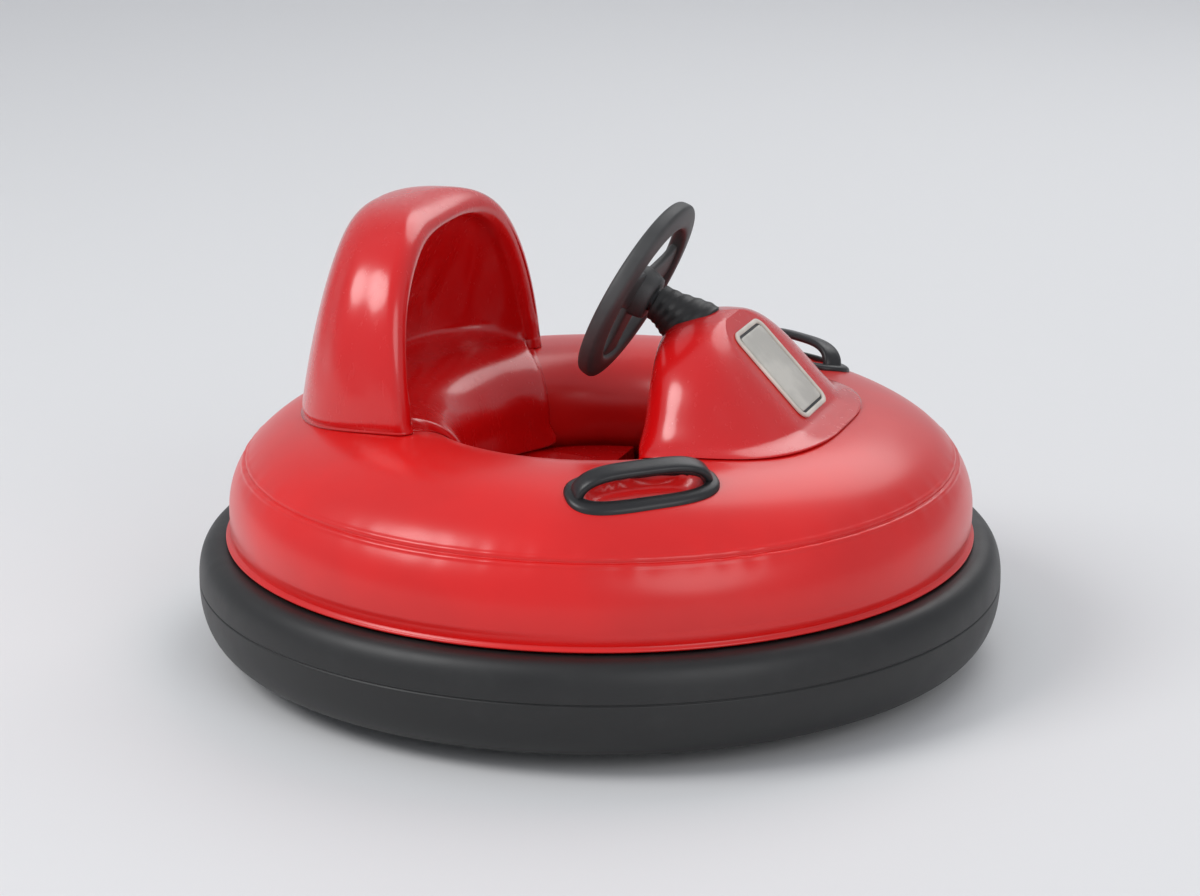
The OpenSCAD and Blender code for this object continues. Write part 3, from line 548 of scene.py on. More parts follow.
def seat_walls(u, z_in, z_out):
    """Points of the rider's side at the heights z_in and of the back at z_out. u runs 0 to 1 from
    the spine to a wing's edge as a quarter superellipse in plan, and on to 2 round the wing's
    nose: a half circle from one edge to the other, of which each side takes half."""
    a = np.radians(90 * np.clip(u, 0, 1))
    e = np.radians(90 * np.clip(u - 1.0, 0, 1))[..., None]
    walls = []
    for z, deep, lip in ((z_in, seat_hollow(z_in), SEAT_LIP), (z_out, seat_depth(z_out), 0.0)):
        x = seat_front(z) - deep * np.where(u < 1.0, np.cos(a) ** PLAN_POWER, 0.0)
        y = seat_half_width(z, lip) * np.sin(a) ** PLAN_POWER
        walls.append(points(x, y, z))
    half = (walls[1] - walls[0]) / 2
    ahead = np.sin(e) * np.linalg.norm(half, axis=-1, keepdims=True) * [1.0, 0.0, 0.0]
    fold = (1 - np.cos(e)) * half
    return walls[0] + fold + ahead, walls[1] - fold + ahead


def skin(q, gap):
    """The ring's skin as (radius, height): q 0 is the side, 1 the crest, 2 the narrowest circle,
    and 3 straight below it at the seat; gap stands off from the skin."""
    t = np.radians(90 * q)
    drop = NARROW_Z - SEAT_END_Z - LAY
    outer = CREST_R + (SIDE_R - CREST_R + gap) * np.abs(np.cos(t)) ** (2 / SIDE_N)
    inner = CREST_R - (CREST_R - INNER_R + gap) * np.abs(np.cos(t)) ** (2 / INNER_N)
    high = SIDE_Z + (CREST_Z - SIDE_Z + gap) * np.abs(np.sin(t)) ** (2 / SIDE_N)
    fall = NARROW_Z + (CREST_Z - NARROW_Z + gap) * np.abs(np.sin(t)) ** (2 / INNER_N)
    r = np.where(q <= 1, outer, np.where(q <= 2, inner, INNER_R - gap))
    return r, np.where(q <= 1, high, np.where(q <= 2, fall, NARROW_Z - (q - 2) * drop))


def skin_at(r):
    """The skin's q at a radius."""
    out = share(r, CREST_R, SIDE_R) ** (SIDE_N / 2)
    ins = share(r, CREST_R, INNER_R) ** (INNER_N / 2)
    q_out, q_ins = (np.degrees(np.arccos(s)) / 90 for s in (out, ins))
    return np.where(r >= CREST_R, q_out, 2 - q_ins)


def on_skin(q, gap, a):
    """The skin's points at q and at an angle a round the car."""
    r, z = skin(q, gap)
    return polar(r, a, z)


def skin_place(points):
    """The q and the angle of the skin straight above or below points."""
    x, y = points[..., 0], points[..., 1]
    return skin_at(np.hypot(x, y)), np.arctan2(y, x)


def seat_uppers(u):
    """The rider's side and the back above the hip, with rows closer together towards the top, as
    1 less a power of the share that is left. Flutes are a cosine across the rider's side, and
    channels a squared sine across each wing."""
    climb = 1 - np.linspace(1, 0, 64)[None] ** 2.5
    z_in = SEAT_HIP + (SEAT_TOP - SEAT_LIP - SEAT_HIP) * climb
    z_out = SEAT_HIP + (SEAT_TOP - SEAT_HIP) * climb
    rider, back = seat_walls(u, z_in, z_out)
    channels = np.sin(2 * np.pi * share(u, 0.52, 0.98)) ** 2
    channels = channels * smooth((z_out - SEAT_HIP) / 0.03) * smooth((0.415 - z_out) / 0.05)
    flutes = np.cos(np.pi * 7.0 * np.minimum(u, 1.0))
    flutes = flutes * smooth((0.385 - z_in) / 0.06) * smooth((z_in - SEAT_HIP) / 0.02)
    back[..., 1] -= CHANNEL * channels
    rider[..., 0] += FLUTE * flutes
    return rider, back


def seat_foot(u, q):
    """The back below the hip, down to the skin at q, tucked in by a quarter circle at the foot."""
    foot = skin(q, LAY)[1] + 0.0015
    z = foot + (SEAT_HIP - foot) * np.linspace(1, 0, 14)[None, 1:] ** 1.3
    low = seat_walls(u, z, z)[1]
    above = 1 - smooth((z - z[:, -1:]) / 0.012)
    tuck = 1 - 0.0035 / 0.28 * (1 - np.sqrt(1 - above**2 * 0.98))
    low[..., :2] *= tuck[..., None]
    return low


def seat_lining(u, hip):
    """The seat's underside on the ring's skin, the liner's top side over it, and a quarter ellipse
    from there up to the hip, with the skin's q under the back's foot."""
    inside, outside = seat_walls(u, SEAT_LOW, SEAT_LOW)
    edge = seat_walls(np.ones_like(u), SEAT_LOW, SEAT_LOW)[0]
    places = map(skin_place, (outside, inside, edge, hip))
    (q0, a0), (q_in, a_in), (q_edge, a_edge), (_, a_hip) = places
    nose = u >= 1.0
    swing = np.radians(22) * np.sin(np.pi * np.minimum(u, 1))
    q1 = np.where(nose, q_in, q_edge + (3 - q_edge) * arch(u))
    a1 = np.where(nose, a_in, np.pi - (np.pi - a_edge) * u - swing)
    q2 = np.minimum(1.1, q1 - 0.02)
    a2 = np.where(nose, a1, a_hip)
    f = np.linspace(0, 1, 40)[None]
    v = np.linspace(0, 1, 22)[None]
    thick = 1 + ((v * 21 + 1) / 22 - 1) * smooth(2 * u - 1)
    top = on_skin(q2, LAY + LINER, a2)
    w = np.linspace(0, np.pi / 2, 12)[None, 1:-1]
    rise = top + (hip - top) * points(np.sin(w), np.sin(w), 1 - np.cos(w))
    under = on_skin(q0 + (q1 - q0) * f, LAY + 0 * f, a0 + (a1 - a0) * f)
    liner = on_skin(q1 + (q2 - q1) * v, LAY + LINER * thick, a1 + (a2 - a1) * v)
    return np.concatenate([under, liner, rise], axis=1), q0


def seat_half(u):
    """Upright sections of the seat's left half for each u, from the spine to the wing: down the
    back, along the ring's skin under the seat, back over the liner and up the rider's side. The
    last row zips the wing's nose: each wall point meets its partner halfway, and each point in
    between takes the place of one on the foot."""
    u = u[:, None]
    rider, back = seat_uppers(u)
    lining, q0 = seat_lining(u, seat_walls(u, SEAT_HIP, SEAT_HIP)[0])
    low = seat_foot(u, q0)
    half = np.concatenate([back[:, ::-1], low, lining, rider], axis=1)
    count, under = back.shape[1], back.shape[1] + low.shape[1]
    walls = np.arange(count)
    tip = half[-1].copy()
    tip[walls] = tip[-1 - walls] = (half[-1, walls] + half[-1, -1 - walls]) / 2
    between = np.arange(under, half.shape[1] - count)
    partner = (between - under) / (len(between) - 1) * (low.shape[1] - 1)
    tip[between] = half[-1, under - 1 - np.round(partner).astype(int)]
    return np.concatenate([half, tip[None]])


class BUMPERCAR_OT_seat(bpy.types.Operator):
    """Builds the moulded seat back, one upright section after another from wing to wing"""

    bl_idname = "bumper_car.seat"
    bl_label = "Seat back"

    def execute(self, context):
        noses = np.sin(np.linspace(0, np.pi / 2, 12))[1:]
        back, wing = np.linspace(0.0, 0.6, 30), np.linspace(0.6, 1.0, 36)[1:]
        half = seat_half(np.concatenate([back, wing, 1 + noses * 0.995]))
        grid = np.concatenate([mirrored(half[:0:-1]), half])
        piece("seat_shell", grid, "shell", "chassis", ("seat_back",), "red_moulding")
        return {"FINISHED"}


# The console: its middle, the heights of its flare and crown, its half width and its flare; its
# back, nose and wall, and the pedestal's top
CONSOLE_X, CONSOLE_LOW, CONSOLE_TOP, CONSOLE_HALF, CONSOLE_FLARE = 0.125, 0.234, 0.335, 0.130, 0.032
CONSOLE_BACK_X, CONSOLE_NOSE_X, CONSOLE_WALL, PEDESTAL_Z = 0.068, 0.245, 0.004, 0.203
# The panel's middle and slope, its half length, half width and corner radius
PANEL_MID, PANEL_SLOPE = np.array([0.180, 0.0, 0.2865]), math.radians(46)
PANEL_LONG, PANEL_WIDE, PANEL_CORNER = 0.052, 0.0375, 0.012
# The charging socket's height and slope, and its hollow's radius, edge and depth
SOCKET_Z, SOCKET_SLOPE = 0.273, math.radians(32)
SOCKET_R, SOCKET_EDGE, SOCKET_DEPTH = 0.0128, 0.004, 0.0105


def console_rise(z):
    """Share of the way from the console's flare to its crown."""
    return share(z, CONSOLE_LOW, CONSOLE_TOP)


def console_width(z):
    """Half width of the console: a body that draws in towards the crown and a flare at its foot."""
    rise = console_rise(z)
    return CONSOLE_HALF * (1 - 0.95 * rise**2.4) ** 0.55 + CONSOLE_FLARE * (1 - rise) ** 6


def panel_x(z, inset):
    """Where the panel's plane cuts a height, run out into a toe at its foot."""
    drop = (z - PANEL_MID[2]) * math.cos(PANEL_SLOPE) + inset
    return PANEL_MID[0] - drop / math.sin(PANEL_SLOPE) + 0.024 * smooth((0.2465 - z) / 0.012)


def console_point(g, z, inset):
    """A point of the console's level outline at angle g: a superellipse of squareness 2.5 round
    its middle, cut off in front by the panel's plane with a rounded edge."""
    level = np.maximum(z, CONSOLE_LOW)
    nose = np.minimum(CONSOLE_NOSE_X, panel_x(level, 0.0) + 0.004)
    back = CONSOLE_BACK_X + 0.037 * console_rise(level) ** 12
    half = np.where(np.cos(g) > 0, nose - inset - CONSOLE_X, CONSOLE_X - back - inset)
    x = CONSOLE_X + half * signed_power(np.cos(g), 0.8)
    y = (console_width(level) - inset) * signed_power(np.sin(g), 0.8)
    cut = panel_x(z, inset) - x
    soft = 0.0022
    x = x + 0.5 * (cut - np.sqrt(cut**2 + soft**2)) + 0.5 * soft
    return np.minimum(x, panel_x(z, inset)), y


def console_foot(g, inset):
    """Height of the console's foot at angle g: just above the ring's skin, or the pedestal."""
    z = np.full_like(g, CONSOLE_LOW)
    for _ in range(2):
        r = np.hypot(*console_point(g, z, inset))
        above_skin = skin(skin_at(r), 0.0014)[1]
        z = np.where(r <= INNER_R, PEDESTAL_Z, np.maximum(PEDESTAL_Z, above_skin))
    return z


class BUMPERCAR_OT_console(bpy.types.Operator):
    """Builds the console's cowl: level outlines from its foot to a slightly domed crown, an
    inner skin behind its wall, a small rolled edge at the foot and a hollow behind the socket"""

    bl_idname = "bumper_car.console"
    bl_label = "Console"

    def rows(self, shares, inset):
        """Outlines at shares of the way from foot to crown, as the sine of a quarter turn."""
        g = (np.arange(256) + 0.5)[None] * 2 * np.pi / 256
        low = console_foot(g, inset)
        z = low + (CONSOLE_TOP - inset - low) * np.sin(np.pi / 2 * shares[:, None] ** 1.15)
        x, y = console_point(g, z, inset)
        if inset == 0:
            roll = 0.0022 * bell((z - low) - 0.0018, 0.0035) * (np.hypot(x, y) > INNER_R)
            x, y = x + roll * np.cos(g), y + roll * np.sin(g)
        return points(x, y, z)

    def socketed(self, grid):
        """The grid let in along the socket's axis, within its radius."""
        axis = np.array([0.0, math.cos(SOCKET_SLOPE), math.sin(SOCKET_SLOPE)])
        away = grid - [CONSOLE_X, console_width(SOCKET_Z), SOCKET_Z]
        along = away @ axis
        radius = np.linalg.norm(away - along[..., None] * axis, axis=-1)
        sink = SOCKET_DEPTH * smooth((SOCKET_R - radius) / SOCKET_EDGE) * (np.abs(along) < 0.02)
        return grid - sink[..., None] * axis

    def execute(self, context):
        shares = np.concatenate([np.linspace(0, 0.06, 9), np.linspace(0.07, 1.0, 64)])
        outer = self.rows(shares, 0.0)
        inner = self.rows(np.linspace(1, 0, 14), CONSOLE_WALL)
        middle = outer[-1:].mean(1, keepdims=True)
        ease = np.linspace(0, 1, 12)[1:-1, None, None]
        crown = outer[-1:] + (middle - outer[-1:]) * ease
        crown[..., 2] += 0.0025 * np.sin(np.pi / 2 * ease[..., 0])
        grid = drawn_in(self.socketed(np.concatenate([inner, outer, crown])))
        piece("console_cowl", grid, "shell", "chassis", ("console",), "red_moulding", wrap_v=True)
        return {"FINISHED"}


def plate(rings):
    """A closed plate: for each ring the panel's outline, a rectangle with round corners, inset by
    the ring's first number and raised by its second, both in millimetres."""
    outlines = []
    for inset, height in np.array(rings) * 0.001:
        corner = max(PANEL_CORNER - inset, 0.002)
        centre = (PANEL_LONG - inset - corner, PANEL_WIDE - inset - corner)
        arc = bow(centre, corner, corner, 2.0, np.linspace(0, 90, 26))
        flat = np.concatenate([arc, arc[::-1] * [-1, 1], -arc, arc[::-1] * [1, -1]])
        outlines.append(points(flat[:, 0], flat[:, 1], height))
    return drawn_in(np.stack(outlines))


# Rings of the panel's frame, the black strip of painted shadow in its groove and the plate, as
# inset and height in millimetres
FRAME_RINGS = [
    (1.2, 0.1), (0.3, 0.4), (0.0, 1.0), (0.0, 2.0), (0.3, 2.6), (1.0, 3.0), (1.8, 3.1),
    (3.4, 3.1), (4.2, 2.9), (4.7, 2.4), (4.8, 1.6), (4.9, 0.7), (9.0, 0.6),
]
# Painted shadow: a black strip laid in the groove between the frame and the plate, darker than the
# groove's own shade
SHADOW_LINE_RINGS = [(4.6, 0.65), (4.6, 1.0), (5.5, 1.1), (8.5, 1.1)]
PLATE_RINGS = [(7.8, 0.7), (7.5, 1.2), (7.4, 1.8), (7.7, 2.2), (8.4, 2.5), (9.7, 2.6), (15.0, 2.62)]


class BUMPERCAR_OT_panel(bpy.types.Operator):
    """Builds the console's pale panel frame, a black strip of painted shadow in its groove and the
    plain plate
    """

    bl_idname = "bumper_car.panel"
    bl_label = "Panel"

    def execute(self, context):
        down = [math.cos(PANEL_SLOPE), 0.0, -math.sin(PANEL_SLOPE)]
        normal = [math.sin(PANEL_SLOPE), 0.0, math.cos(PANEL_SLOPE)]
        axes = np.array([down, [0.0, 1.0, 0.0], normal])
        for name, rings, finish, nodes, slot in (
            ("panel_surround", FRAME_RINGS, "pale", ("panel_frame",), "panel_frame"),
            # The black strip in the panel's groove is painted shadow
            ("panel_shadow_line", SHADOW_LINE_RINGS, "black", (), "black_moulding"),
            ("panel_blank", PLATE_RINGS, "plate", ("panel_plate",), "panel_face"),
        ):
            grid = placed(plate(rings), PANEL_MID, axes)
            piece(name, grid, finish, "chassis", nodes, slot, wrap_v=True)
        return {"FINISHED"}


# The steering wheel's middle, and its frame: down its face, to the left, and along the column
WHEEL_MID, COLUMN_TILT = np.array([0.038, 0.0, 0.351]), math.radians(27)
COLUMN_AXES = np.array([
    [-math.sin(COLUMN_TILT), 0.0, -math.cos(COLUMN_TILT)],
    [0.0, 1.0, 0.0],
    [math.cos(COLUMN_TILT), 0.0, -math.sin(COLUMN_TILT)],
])
# The rim's outer radius, the radius where it is trimmed, its half thickness, squareness and lean
RIM_R, RIM_TRIM, RIM_HALF, RIM_N, RIM_LEAN = 0.0946, 0.0944, 0.0082, 3.4, math.radians(-9)
# The hub's section in millimetres as (radius, distance along the column)
HUB_PROFILE = np.array([
    [0.0, -5.8], [12.0, -5.8], [16.5, -5.5], [17.2, -4.8], [18.0, -5.5], [21.5, -5.2], [24.0, -4.0],
    [24.9, -1.5], [24.7, 4.0], [22.5, 14.0], [21.2, 17.2], [19.5, 18.0], [0.0, 18.0],
]) * 0.001
# Where the spokes start and how far they reach, and the angle between the low one and the others
SPOKE_START, SPOKE_REACH, SPOKE_TURN = 0.012, 0.066, math.radians(104.0)
# The boot: where it starts, its length, and how much further it reaches over the crown
BOOT_START, BOOT_LENGTH, BOOT_DRAPE = 0.0225, 0.026, 0.028
# Its radius, its flare and the depth of its pleats
BOOT_R, BOOT_FLARE, BOOT_PLEAT = 0.0182, 0.0080, 0.0004
BOOT_BORE = [[0.0225, 0.0500], [0.0124, 0.0500], [0.0124, 0.0222], [0.0165, 0.0220]]


def on_column(grid):
    """A grid moved from the steering wheel's frame."""
    return placed(grid, WHEEL_MID, COLUMN_AXES)


class BUMPERCAR_OT_steering(bpy.types.Operator):
    """Builds the steering wheel's broad rim, three wide spokes and hub, and the soft boot where
    its column enters the console"""

    bl_idname = "bumper_car.steering"
    bl_label = "Steering"

    def rim(self, width):
        """The rim's section as (radius, distance along the column): a leaning superellipse."""
        section = closed_bow((0, 0), width / 2 - 0.0002, RIM_HALF, RIM_N, 56)
        rim = section @ spin(RIM_LEAN) + [RIM_R - width / 2, 0.0]
        rim[:, 0] = np.minimum(rim[:, 0], RIM_TRIM)
        return rim

    def spoke(self, turn):
        """A flat bar from the hub to the rim: a rounded section that widens towards the rim and
        rises towards the rider at the hub."""
        along = np.linspace(0, 1, 30)[:, None]
        section = closed_bow((0, 0), 1.0, 1.0, 4.0, 48)[None]
        half = 0.0165 + 0.0065 * smooth((along - 0.55) / 0.5) + 0.003 * (1 - along) ** 2
        flat = points(SPOKE_START + SPOKE_REACH * along, half * section[..., 0]) @ spin(turn)
        level = 0.0006 - 0.0005 * along + 0.0044 * section[..., 1]
        return drawn_in(points(flat[..., 0], flat[..., 1], level))

    def boot(self):
        """A pleated cone round the column, turned in its frame: a smooth step flares it, a cosine
        pleats it, and its far end reaches further towards the crown by half of 1 less the cosine
        of the angle from straight down."""
        depth = np.linspace(0, 1, 44)
        pleats = BOOT_PLEAT * np.cos(depth * 9.5 * np.pi) * smooth(depth / 0.2)
        flare = BOOT_R + BOOT_FLARE * smooth(depth / 0.95) ** 1.2 + pleats
        outer = points(flare, BOOT_START + BOOT_LENGTH * depth)
        grid = turned(np.concatenate([outer, BOOT_BORE]), 120)
        radius = np.linalg.norm(grid[..., :2], axis=-1)
        reach = share(grid[..., 2], BOOT_START, BOOT_START + BOOT_LENGTH)
        grid[..., 2] += BOOT_DRAPE * reach * (1 - grid[..., 0] / radius) / 2
        return grid

    def execute(self, context):
        rim = turned(self.rim(context.scene.bumper_car.rim_width), 224)
        look = {"finish": "grip", "body": "steering", "slot": "wheel_grip"}
        piece("wheel_rim", on_column(rim), nodes=("steering_wheel",), **look, **BOTH)
        piece("wheel_hub", on_column(turned(HUB_PROFILE, 96)), wrap_u=True, **look)
        for name, turn in (("low", 0.0), ("left", SPOKE_TURN), ("right", -SPOKE_TURN)):
            piece("spoke_" + name, on_column(self.spoke(turn)), wrap_v=True, **look)
        boot = on_column(self.boot())
        piece("column_boot", boot, "rubber", "chassis", (), "black_moulding", **BOTH)
        return {"FINISHED"}


# Half axes and squareness of the bezel's oval
BEZEL_LONG, BEZEL_WIDE, BEZEL_N = 0.0640, 0.0280, 2.7
# The grip's half length, its rise above its ends and their depth, and its half thickness
GRIP_LONG, GRIP_RISE, GRIP_SINK, GRIP_HALF = 0.0610, 0.0252, 0.005, 0.0044


class BUMPERCAR_OT_handles(bpy.types.Operator):
    """Builds the two grab handles: an oval bezel that follows the ring's skin, and a flat bar
    with bent ends over its middle"""

    bl_idname = "bumper_car.handles"
    bl_label = "Grab handles"

    def bezel(self, origin, axes):
        """A rounded section carried round a superellipse on the skin."""
        path = closed_bow((0, 0), BEZEL_LONG, BEZEL_WIDE, BEZEL_N, 144)
        side = right_of(loop_steps(path))
        section = closed_bow((0.0, 0.0008), 0.0069, 0.0043, 2.6, 36)
        flat = path[:, None] + side[:, None] * section[None, :, :1]
        world = placed(points(flat[..., 0], flat[..., 1], 0.0), origin, axes)
        radius = np.linalg.norm(world[..., :2], axis=-1)
        world[..., 2] = ring_top(radius) + section[None, :, 1] * 1.03
        return world

    def bar(self, origin, axes, width):
        """A flat rounded section carried along an arch whose ends bend down into the bezel."""
        path = bow((0.0, -GRIP_SINK), GRIP_LONG, GRIP_RISE, (3.6, 2.6), np.linspace(4, 176, 90))
        side = right_of(np.gradient(path, axis=0))
        section = closed_bow((0, 0), width / 2, GRIP_HALF, 3.0, 36)
        across = path[:, None] + side[:, None] * section[None, :, 1:]
        local = points(across[..., 0], section[None, :, 0], across[..., 1])
        return placed(drawn_in(local), origin, axes)

    def execute(self, context):
        origin, axes = skin_frame(*HANDLE_PLACE)
        bezel = self.bezel(origin, axes)
        bar = self.bar(origin, axes, context.scene.bumper_car.grip_width)
        look = {"finish": "handle", "body": "chassis", "slot": "handle_moulding", "wrap_v": True}
        for side, oval, grip in (("left", bezel, bar), ("right", mirrored(bezel), mirrored(bar))):
            piece("bezel_" + side, oval, nodes=("handle_" + side,), wrap_u=True, **look)
            piece("grip_bar_" + side, grip, **look)
        return {"FINISHED"}


# Grooves round a tyre's two halves, how far they slant, and the radius of a tyre's shoulders
GROOVES, GROOVE_SLANT, SHOULDER = 36, 60.0, 0.006
# Each tyre's node, body, centre, diameter and width
TYRES = (
    ("drive_tyre", "drive_wheel", (0.112, 0.0, 0.050), 0.100, 0.036),
    ("rear_tyre_left", "rear_wheel_left", (-0.19586, 0.156, 0.045), 0.090, 0.028),
    ("rear_tyre_right", "rear_wheel_right", (-0.19586, -0.156, 0.045), 0.090, 0.028),
)


class BUMPERCAR_OT_tyres(bpy.types.Operator):
    """Builds the three solid tyres with slanting tread grooves"""

    bl_idname = "bumper_car.tyres"
    bl_label = "Tyres"

    def tyre(self, centre, diameter, width, depth):
        """A rounded band about the wheel's axle; each groove is a bell across the tread whose
        place shifts with the distance from the middle."""
        outer, inner, half = diameter / 2, diameter * 0.33, width / 2
        round_r, round_z = outer - SHOULDER, half - SHOULDER
        right = bow((round_r, round_z), SHOULDER, SHOULDER, 2.0, np.linspace(0, 90, 5))
        flat = np.linspace([outer, 0.001 - round_z], [outer, round_z - 0.001], 14)
        rims = [[inner, -half]], [[inner, half]]
        profile = np.concatenate([rims[0], right[::-1] * [1, -1], flat, right, rims[1]])
        grid, around = turned(profile, 288), round_angles(288)
        across = np.abs(profile[None, :, 1])
        phase = (around * GROOVES / (2 * np.pi) + GROOVE_SLANT * across) % 1.0
        cut = bell(np.minimum(phase, 1 - phase), 0.13) * smooth((half - 0.004 - across) / 0.003)
        middle = bell(across, 0.0014)
        tread = profile[None, :, 0] > inner + 0.001
        shrink = 1 - depth * np.maximum(cut * (1 - 0.3 * middle), 0.8 * middle) * tread / outer
        grid[..., :2] *= shrink[..., None]
        return grid[..., [0, 2, 1]] + centre

    def execute(self, context):
        depth = context.scene.bumper_car.tread_depth
        for node, body, centre, diameter, width in TYRES:
            grid = self.tyre(centre, diameter, width, depth)
            piece("treaded_" + node, grid, "tread", body, (node,), "tyre_rubber", **BOTH)
        return {"FINISHED"}


# The filling valve's radius and angle on the ring, its flutes, and its section in millimetres as
# (radius, height above the skin)
VALVE_R, VALVE_AT, VALVE_FLUTES = 0.296, 132.0, 20
VALVE_PROFILE = np.array([
    [0.0, -0.4], [10.5, -0.4], [11.0, 0.4], [10.4, 1.2], [8.4, 1.9], [7.4, 2.2], [7.1, 2.8],
    [7.0, 3.4], [7.0, 4.8], [6.7, 5.6], [5.9, 6.1], [4.2, 6.2], [3.9, 5.9], [0.0, 5.9],
]) * 0.001


class BUMPERCAR_OT_valve(bpy.types.Operator):
    """Builds the ring's filling valve: a soft flange with a fluted cap"""

    bl_idname = "bumper_car.valve"
    bl_label = "Filling valve"

    def execute(self, context):
        fall = ring_top(VALVE_R - 0.0005) - ring_top(VALVE_R + 0.0005)
        origin, axes = skin_frame(VALVE_R, VALVE_AT, np.degrees(np.arctan2(fall, 0.001)), 0.0)
        grid = turned(VALVE_PROFILE, 120)
        fluted = (VALVE_PROFILE[:, 1] > 0.0030) & (VALVE_PROFILE[:, 0] > 0.006)
        flutes = 0.03 * (0.5 + 0.5 * np.cos(VALVE_FLUTES * round_angles(120))) * fluted
        grid[..., :2] *= 1 - flutes[..., None]
        grid = placed(grid, origin + [0.0, 0.0, 0.0003], axes)
        piece("valve_cap", grid, "skin", "chassis", ("air_valve",), "valve_plastic", wrap_u=True)
        return {"FINISHED"}


class BUMPERCAR_OT_finishes(bpy.types.Operator):
    """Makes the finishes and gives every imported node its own, or else grey plastic"""

    bl_idname = "bumper_car.finishes"
    bl_label = "Finishes"

    def execute(self, context):
        looks = context.scene.bumper_car
        finish_of = {}
        for key, finish, nodes in (
            ("skin", gloss_vinyl("ring vinyl", looks.skin_red), "body_ring air_valve"),
            ("shell", gloss_moulding("red moulding", looks.shell_red),
             "seat_base seat_back console"),
            ("rubber", satin_rubber("bumper rubber", 0.013, 0.2), "bumper_ring"),
            ("tread", satin_rubber("tyre rubber", 0.03, 0.6),
             "drive_tyre rear_tyre_left rear_tyre_right"),
            ("black", grained_plastic("black plastic", (0.018, 0.018, 0.02), 0.4),
             "steering_column column_collar pedal chassis_pan pan_rim power_switch charge_socket"),
            ("handle", grained_plastic("handle plastic", (0.014, 0.014, 0.015), 0.34),
             "handle_left handle_right"),
            ("grip", grained_plastic("wheel plastic, grained", (0.045,) * 3, 0.5, 900.0),
             "steering_wheel"),
            ("grey", grained_plastic("grey plastic", (0.07, 0.072, 0.078), 0.5), ""),
            ("pale", grained_plastic("pale frame plastic", (0.62, 0.56, 0.49), 0.36),
             "panel_frame"),
            ("plate", grained_plastic("plain plate", (0.5, 0.48, 0.43), 0.3), "panel_plate"),
            ("steel", plated_steel("zinc plated steel"),
             "spindle_bearing rear_axle_left rear_axle_right drive_fork drive_axle"),
            ("hub", grained_plastic("hub plastic", (0.5,) * 3, 0.45),
             "drive_hub rear_hub_left rear_hub_right"),
        ):
            FINISH[key] = finish
            finish_of.update(dict.fromkeys(nodes.split(), finish))
        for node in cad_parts:
            paint(node, finish_of.get(node, FINISH["grey"]))
        return {"FINISHED"}


# The floor: its nearest and furthest edge, half width, the radius of its bend and its height
FLOOR_NEAR, FLOOR_FAR, FLOOR_HALF, FLOOR_BEND, FLOOR_RISE = -26.0, 4.0, 26.0, 1.6, 8.0
# Point that the lamps face, and each lamp's name, place, diameter and power
LAMP_AIM = (0.0, 0.0, 0.2)
LAMPS = (
    ("key", (-2.6, -2.2, 3.4), 2.4, 95.0),
    ("fill", (3.2, -2.6, 2.2), 2.8, 40.0),
    ("back", (0.5, 3.0, 3.2), 3.0, 45.0),
)


def stood(name, data, place, target):
    """A lamp or camera in the scene, at a place and facing a target."""
    obj = bpy.data.objects.new(name, data)
    obj.location = place
    obj.rotation_euler = (Vector(target) - Vector(place)).to_track_quat("-Z", "Y").to_euler()
    bpy.context.scene.collection.objects.link(obj)
    return obj


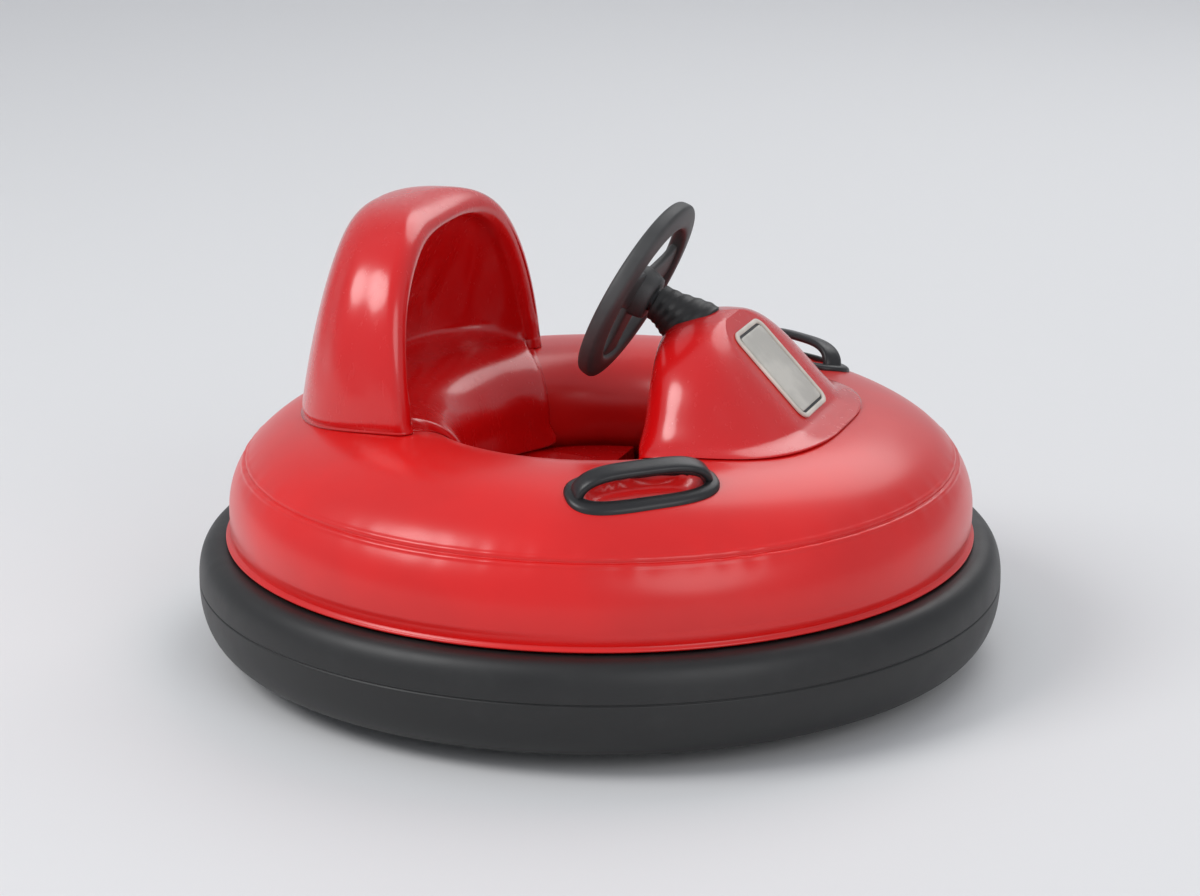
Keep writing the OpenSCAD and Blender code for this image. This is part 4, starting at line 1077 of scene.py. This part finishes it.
class BUMPERCAR_OT_stage(bpy.types.Operator):
    """Builds the pale floor, the backdrop, the soft lights and the camera"""

    bl_idname = "bumper_car.stage"
    bl_label = "Stage"

    def floor(self):
        """A level sheet that bends up behind the car as a quarter circle and goes on upright,
        turned to face the camera."""
        s, t = np.meshgrid(np.linspace(-1, 1, 33), np.linspace(0, 1, 65), indexing="ij")
        bend = share(t, 0.55, 0.75) * math.pi / 2
        level = (FLOOR_FAR - FLOOR_NEAR) * np.minimum(t, 0.55) / 0.55
        depth = FLOOR_NEAR + level + FLOOR_BEND * np.sin(bend)
        rise = FLOOR_BEND * (1 - np.cos(bend)) + FLOOR_RISE * np.maximum(t - 0.75, 0) / 0.25
        flat = points(FLOOR_HALF * s, depth) @ spin(math.radians(20.0))
        return points(flat[..., 0], flat[..., 1], rise)[:, ::-1]

    def execute(self, context):
        looks = context.scene.bumper_car
        surface("floor", self.floor(), Finish("pale floor", (looks.floor_tone,) * 3, 0.6))
        world = bpy.data.worlds.new("room")
        context.scene.world = world
        world.use_nodes = True
        background = world.node_tree.nodes["Background"].inputs
        background["Color"].default_value = (0.9, 0.93, 1.0, 1.0)
        background["Strength"].default_value = 0.55
        for name, place, size, power in LAMPS:
            data = bpy.data.lights.new(name, "AREA")
            data.shape, data.size, data.energy = "DISK", size, power
            stood(name, data, place, LAMP_AIM)
        data = bpy.data.cameras.new("camera")
        data.lens, data.sensor_width, data.clip_end = looks.lens, 36.0, 60.0
        context.scene.camera = stood("camera", data, looks.camera_place, looks.camera_aim)
        context.scene.view_settings.view_transform = "Standard"
        return {"FINISHED"}


class BUMPERCAR_PT_panel(bpy.types.Panel):
    bl_label = "Bumper Car"
    bl_idname = "BUMPERCAR_PT_panel"
    bl_space_type = "VIEW_3D"
    bl_region_type = "UI"
    bl_category = "Bumper Car"

    def draw(self, context):
        looks = context.scene.bumper_car
        for key in BumperCarLooks.__annotations__:
            self.layout.prop(looks, key)
        for operator in OPERATORS:
            self.layout.operator(operator.bl_idname)


OPERATORS = (
    BUMPERCAR_OT_finishes,
    BUMPERCAR_OT_ring,
    BUMPERCAR_OT_bumper,
    BUMPERCAR_OT_seat,
    BUMPERCAR_OT_console,
    BUMPERCAR_OT_panel,
    BUMPERCAR_OT_steering,
    BUMPERCAR_OT_handles,
    BUMPERCAR_OT_tyres,
    BUMPERCAR_OT_valve,
    BUMPERCAR_OT_stage,
)
CLASSES = (BumperCarLooks,) + OPERATORS + (BUMPERCAR_PT_panel,)


def register():
    for cls in CLASSES:
        bpy.utils.register_class(cls)
    bpy.types.Scene.bumper_car = PointerProperty(type=BumperCarLooks)


def unregister():
    del bpy.types.Scene.bumper_car
    for cls in reversed(CLASSES):
        bpy.utils.unregister_class(cls)


def main():
    register()
    for operator in OPERATORS:
        getattr(bpy.ops.bumper_car, operator.bl_idname.split(".")[1])()


if __name__ == "__main__":
    main()
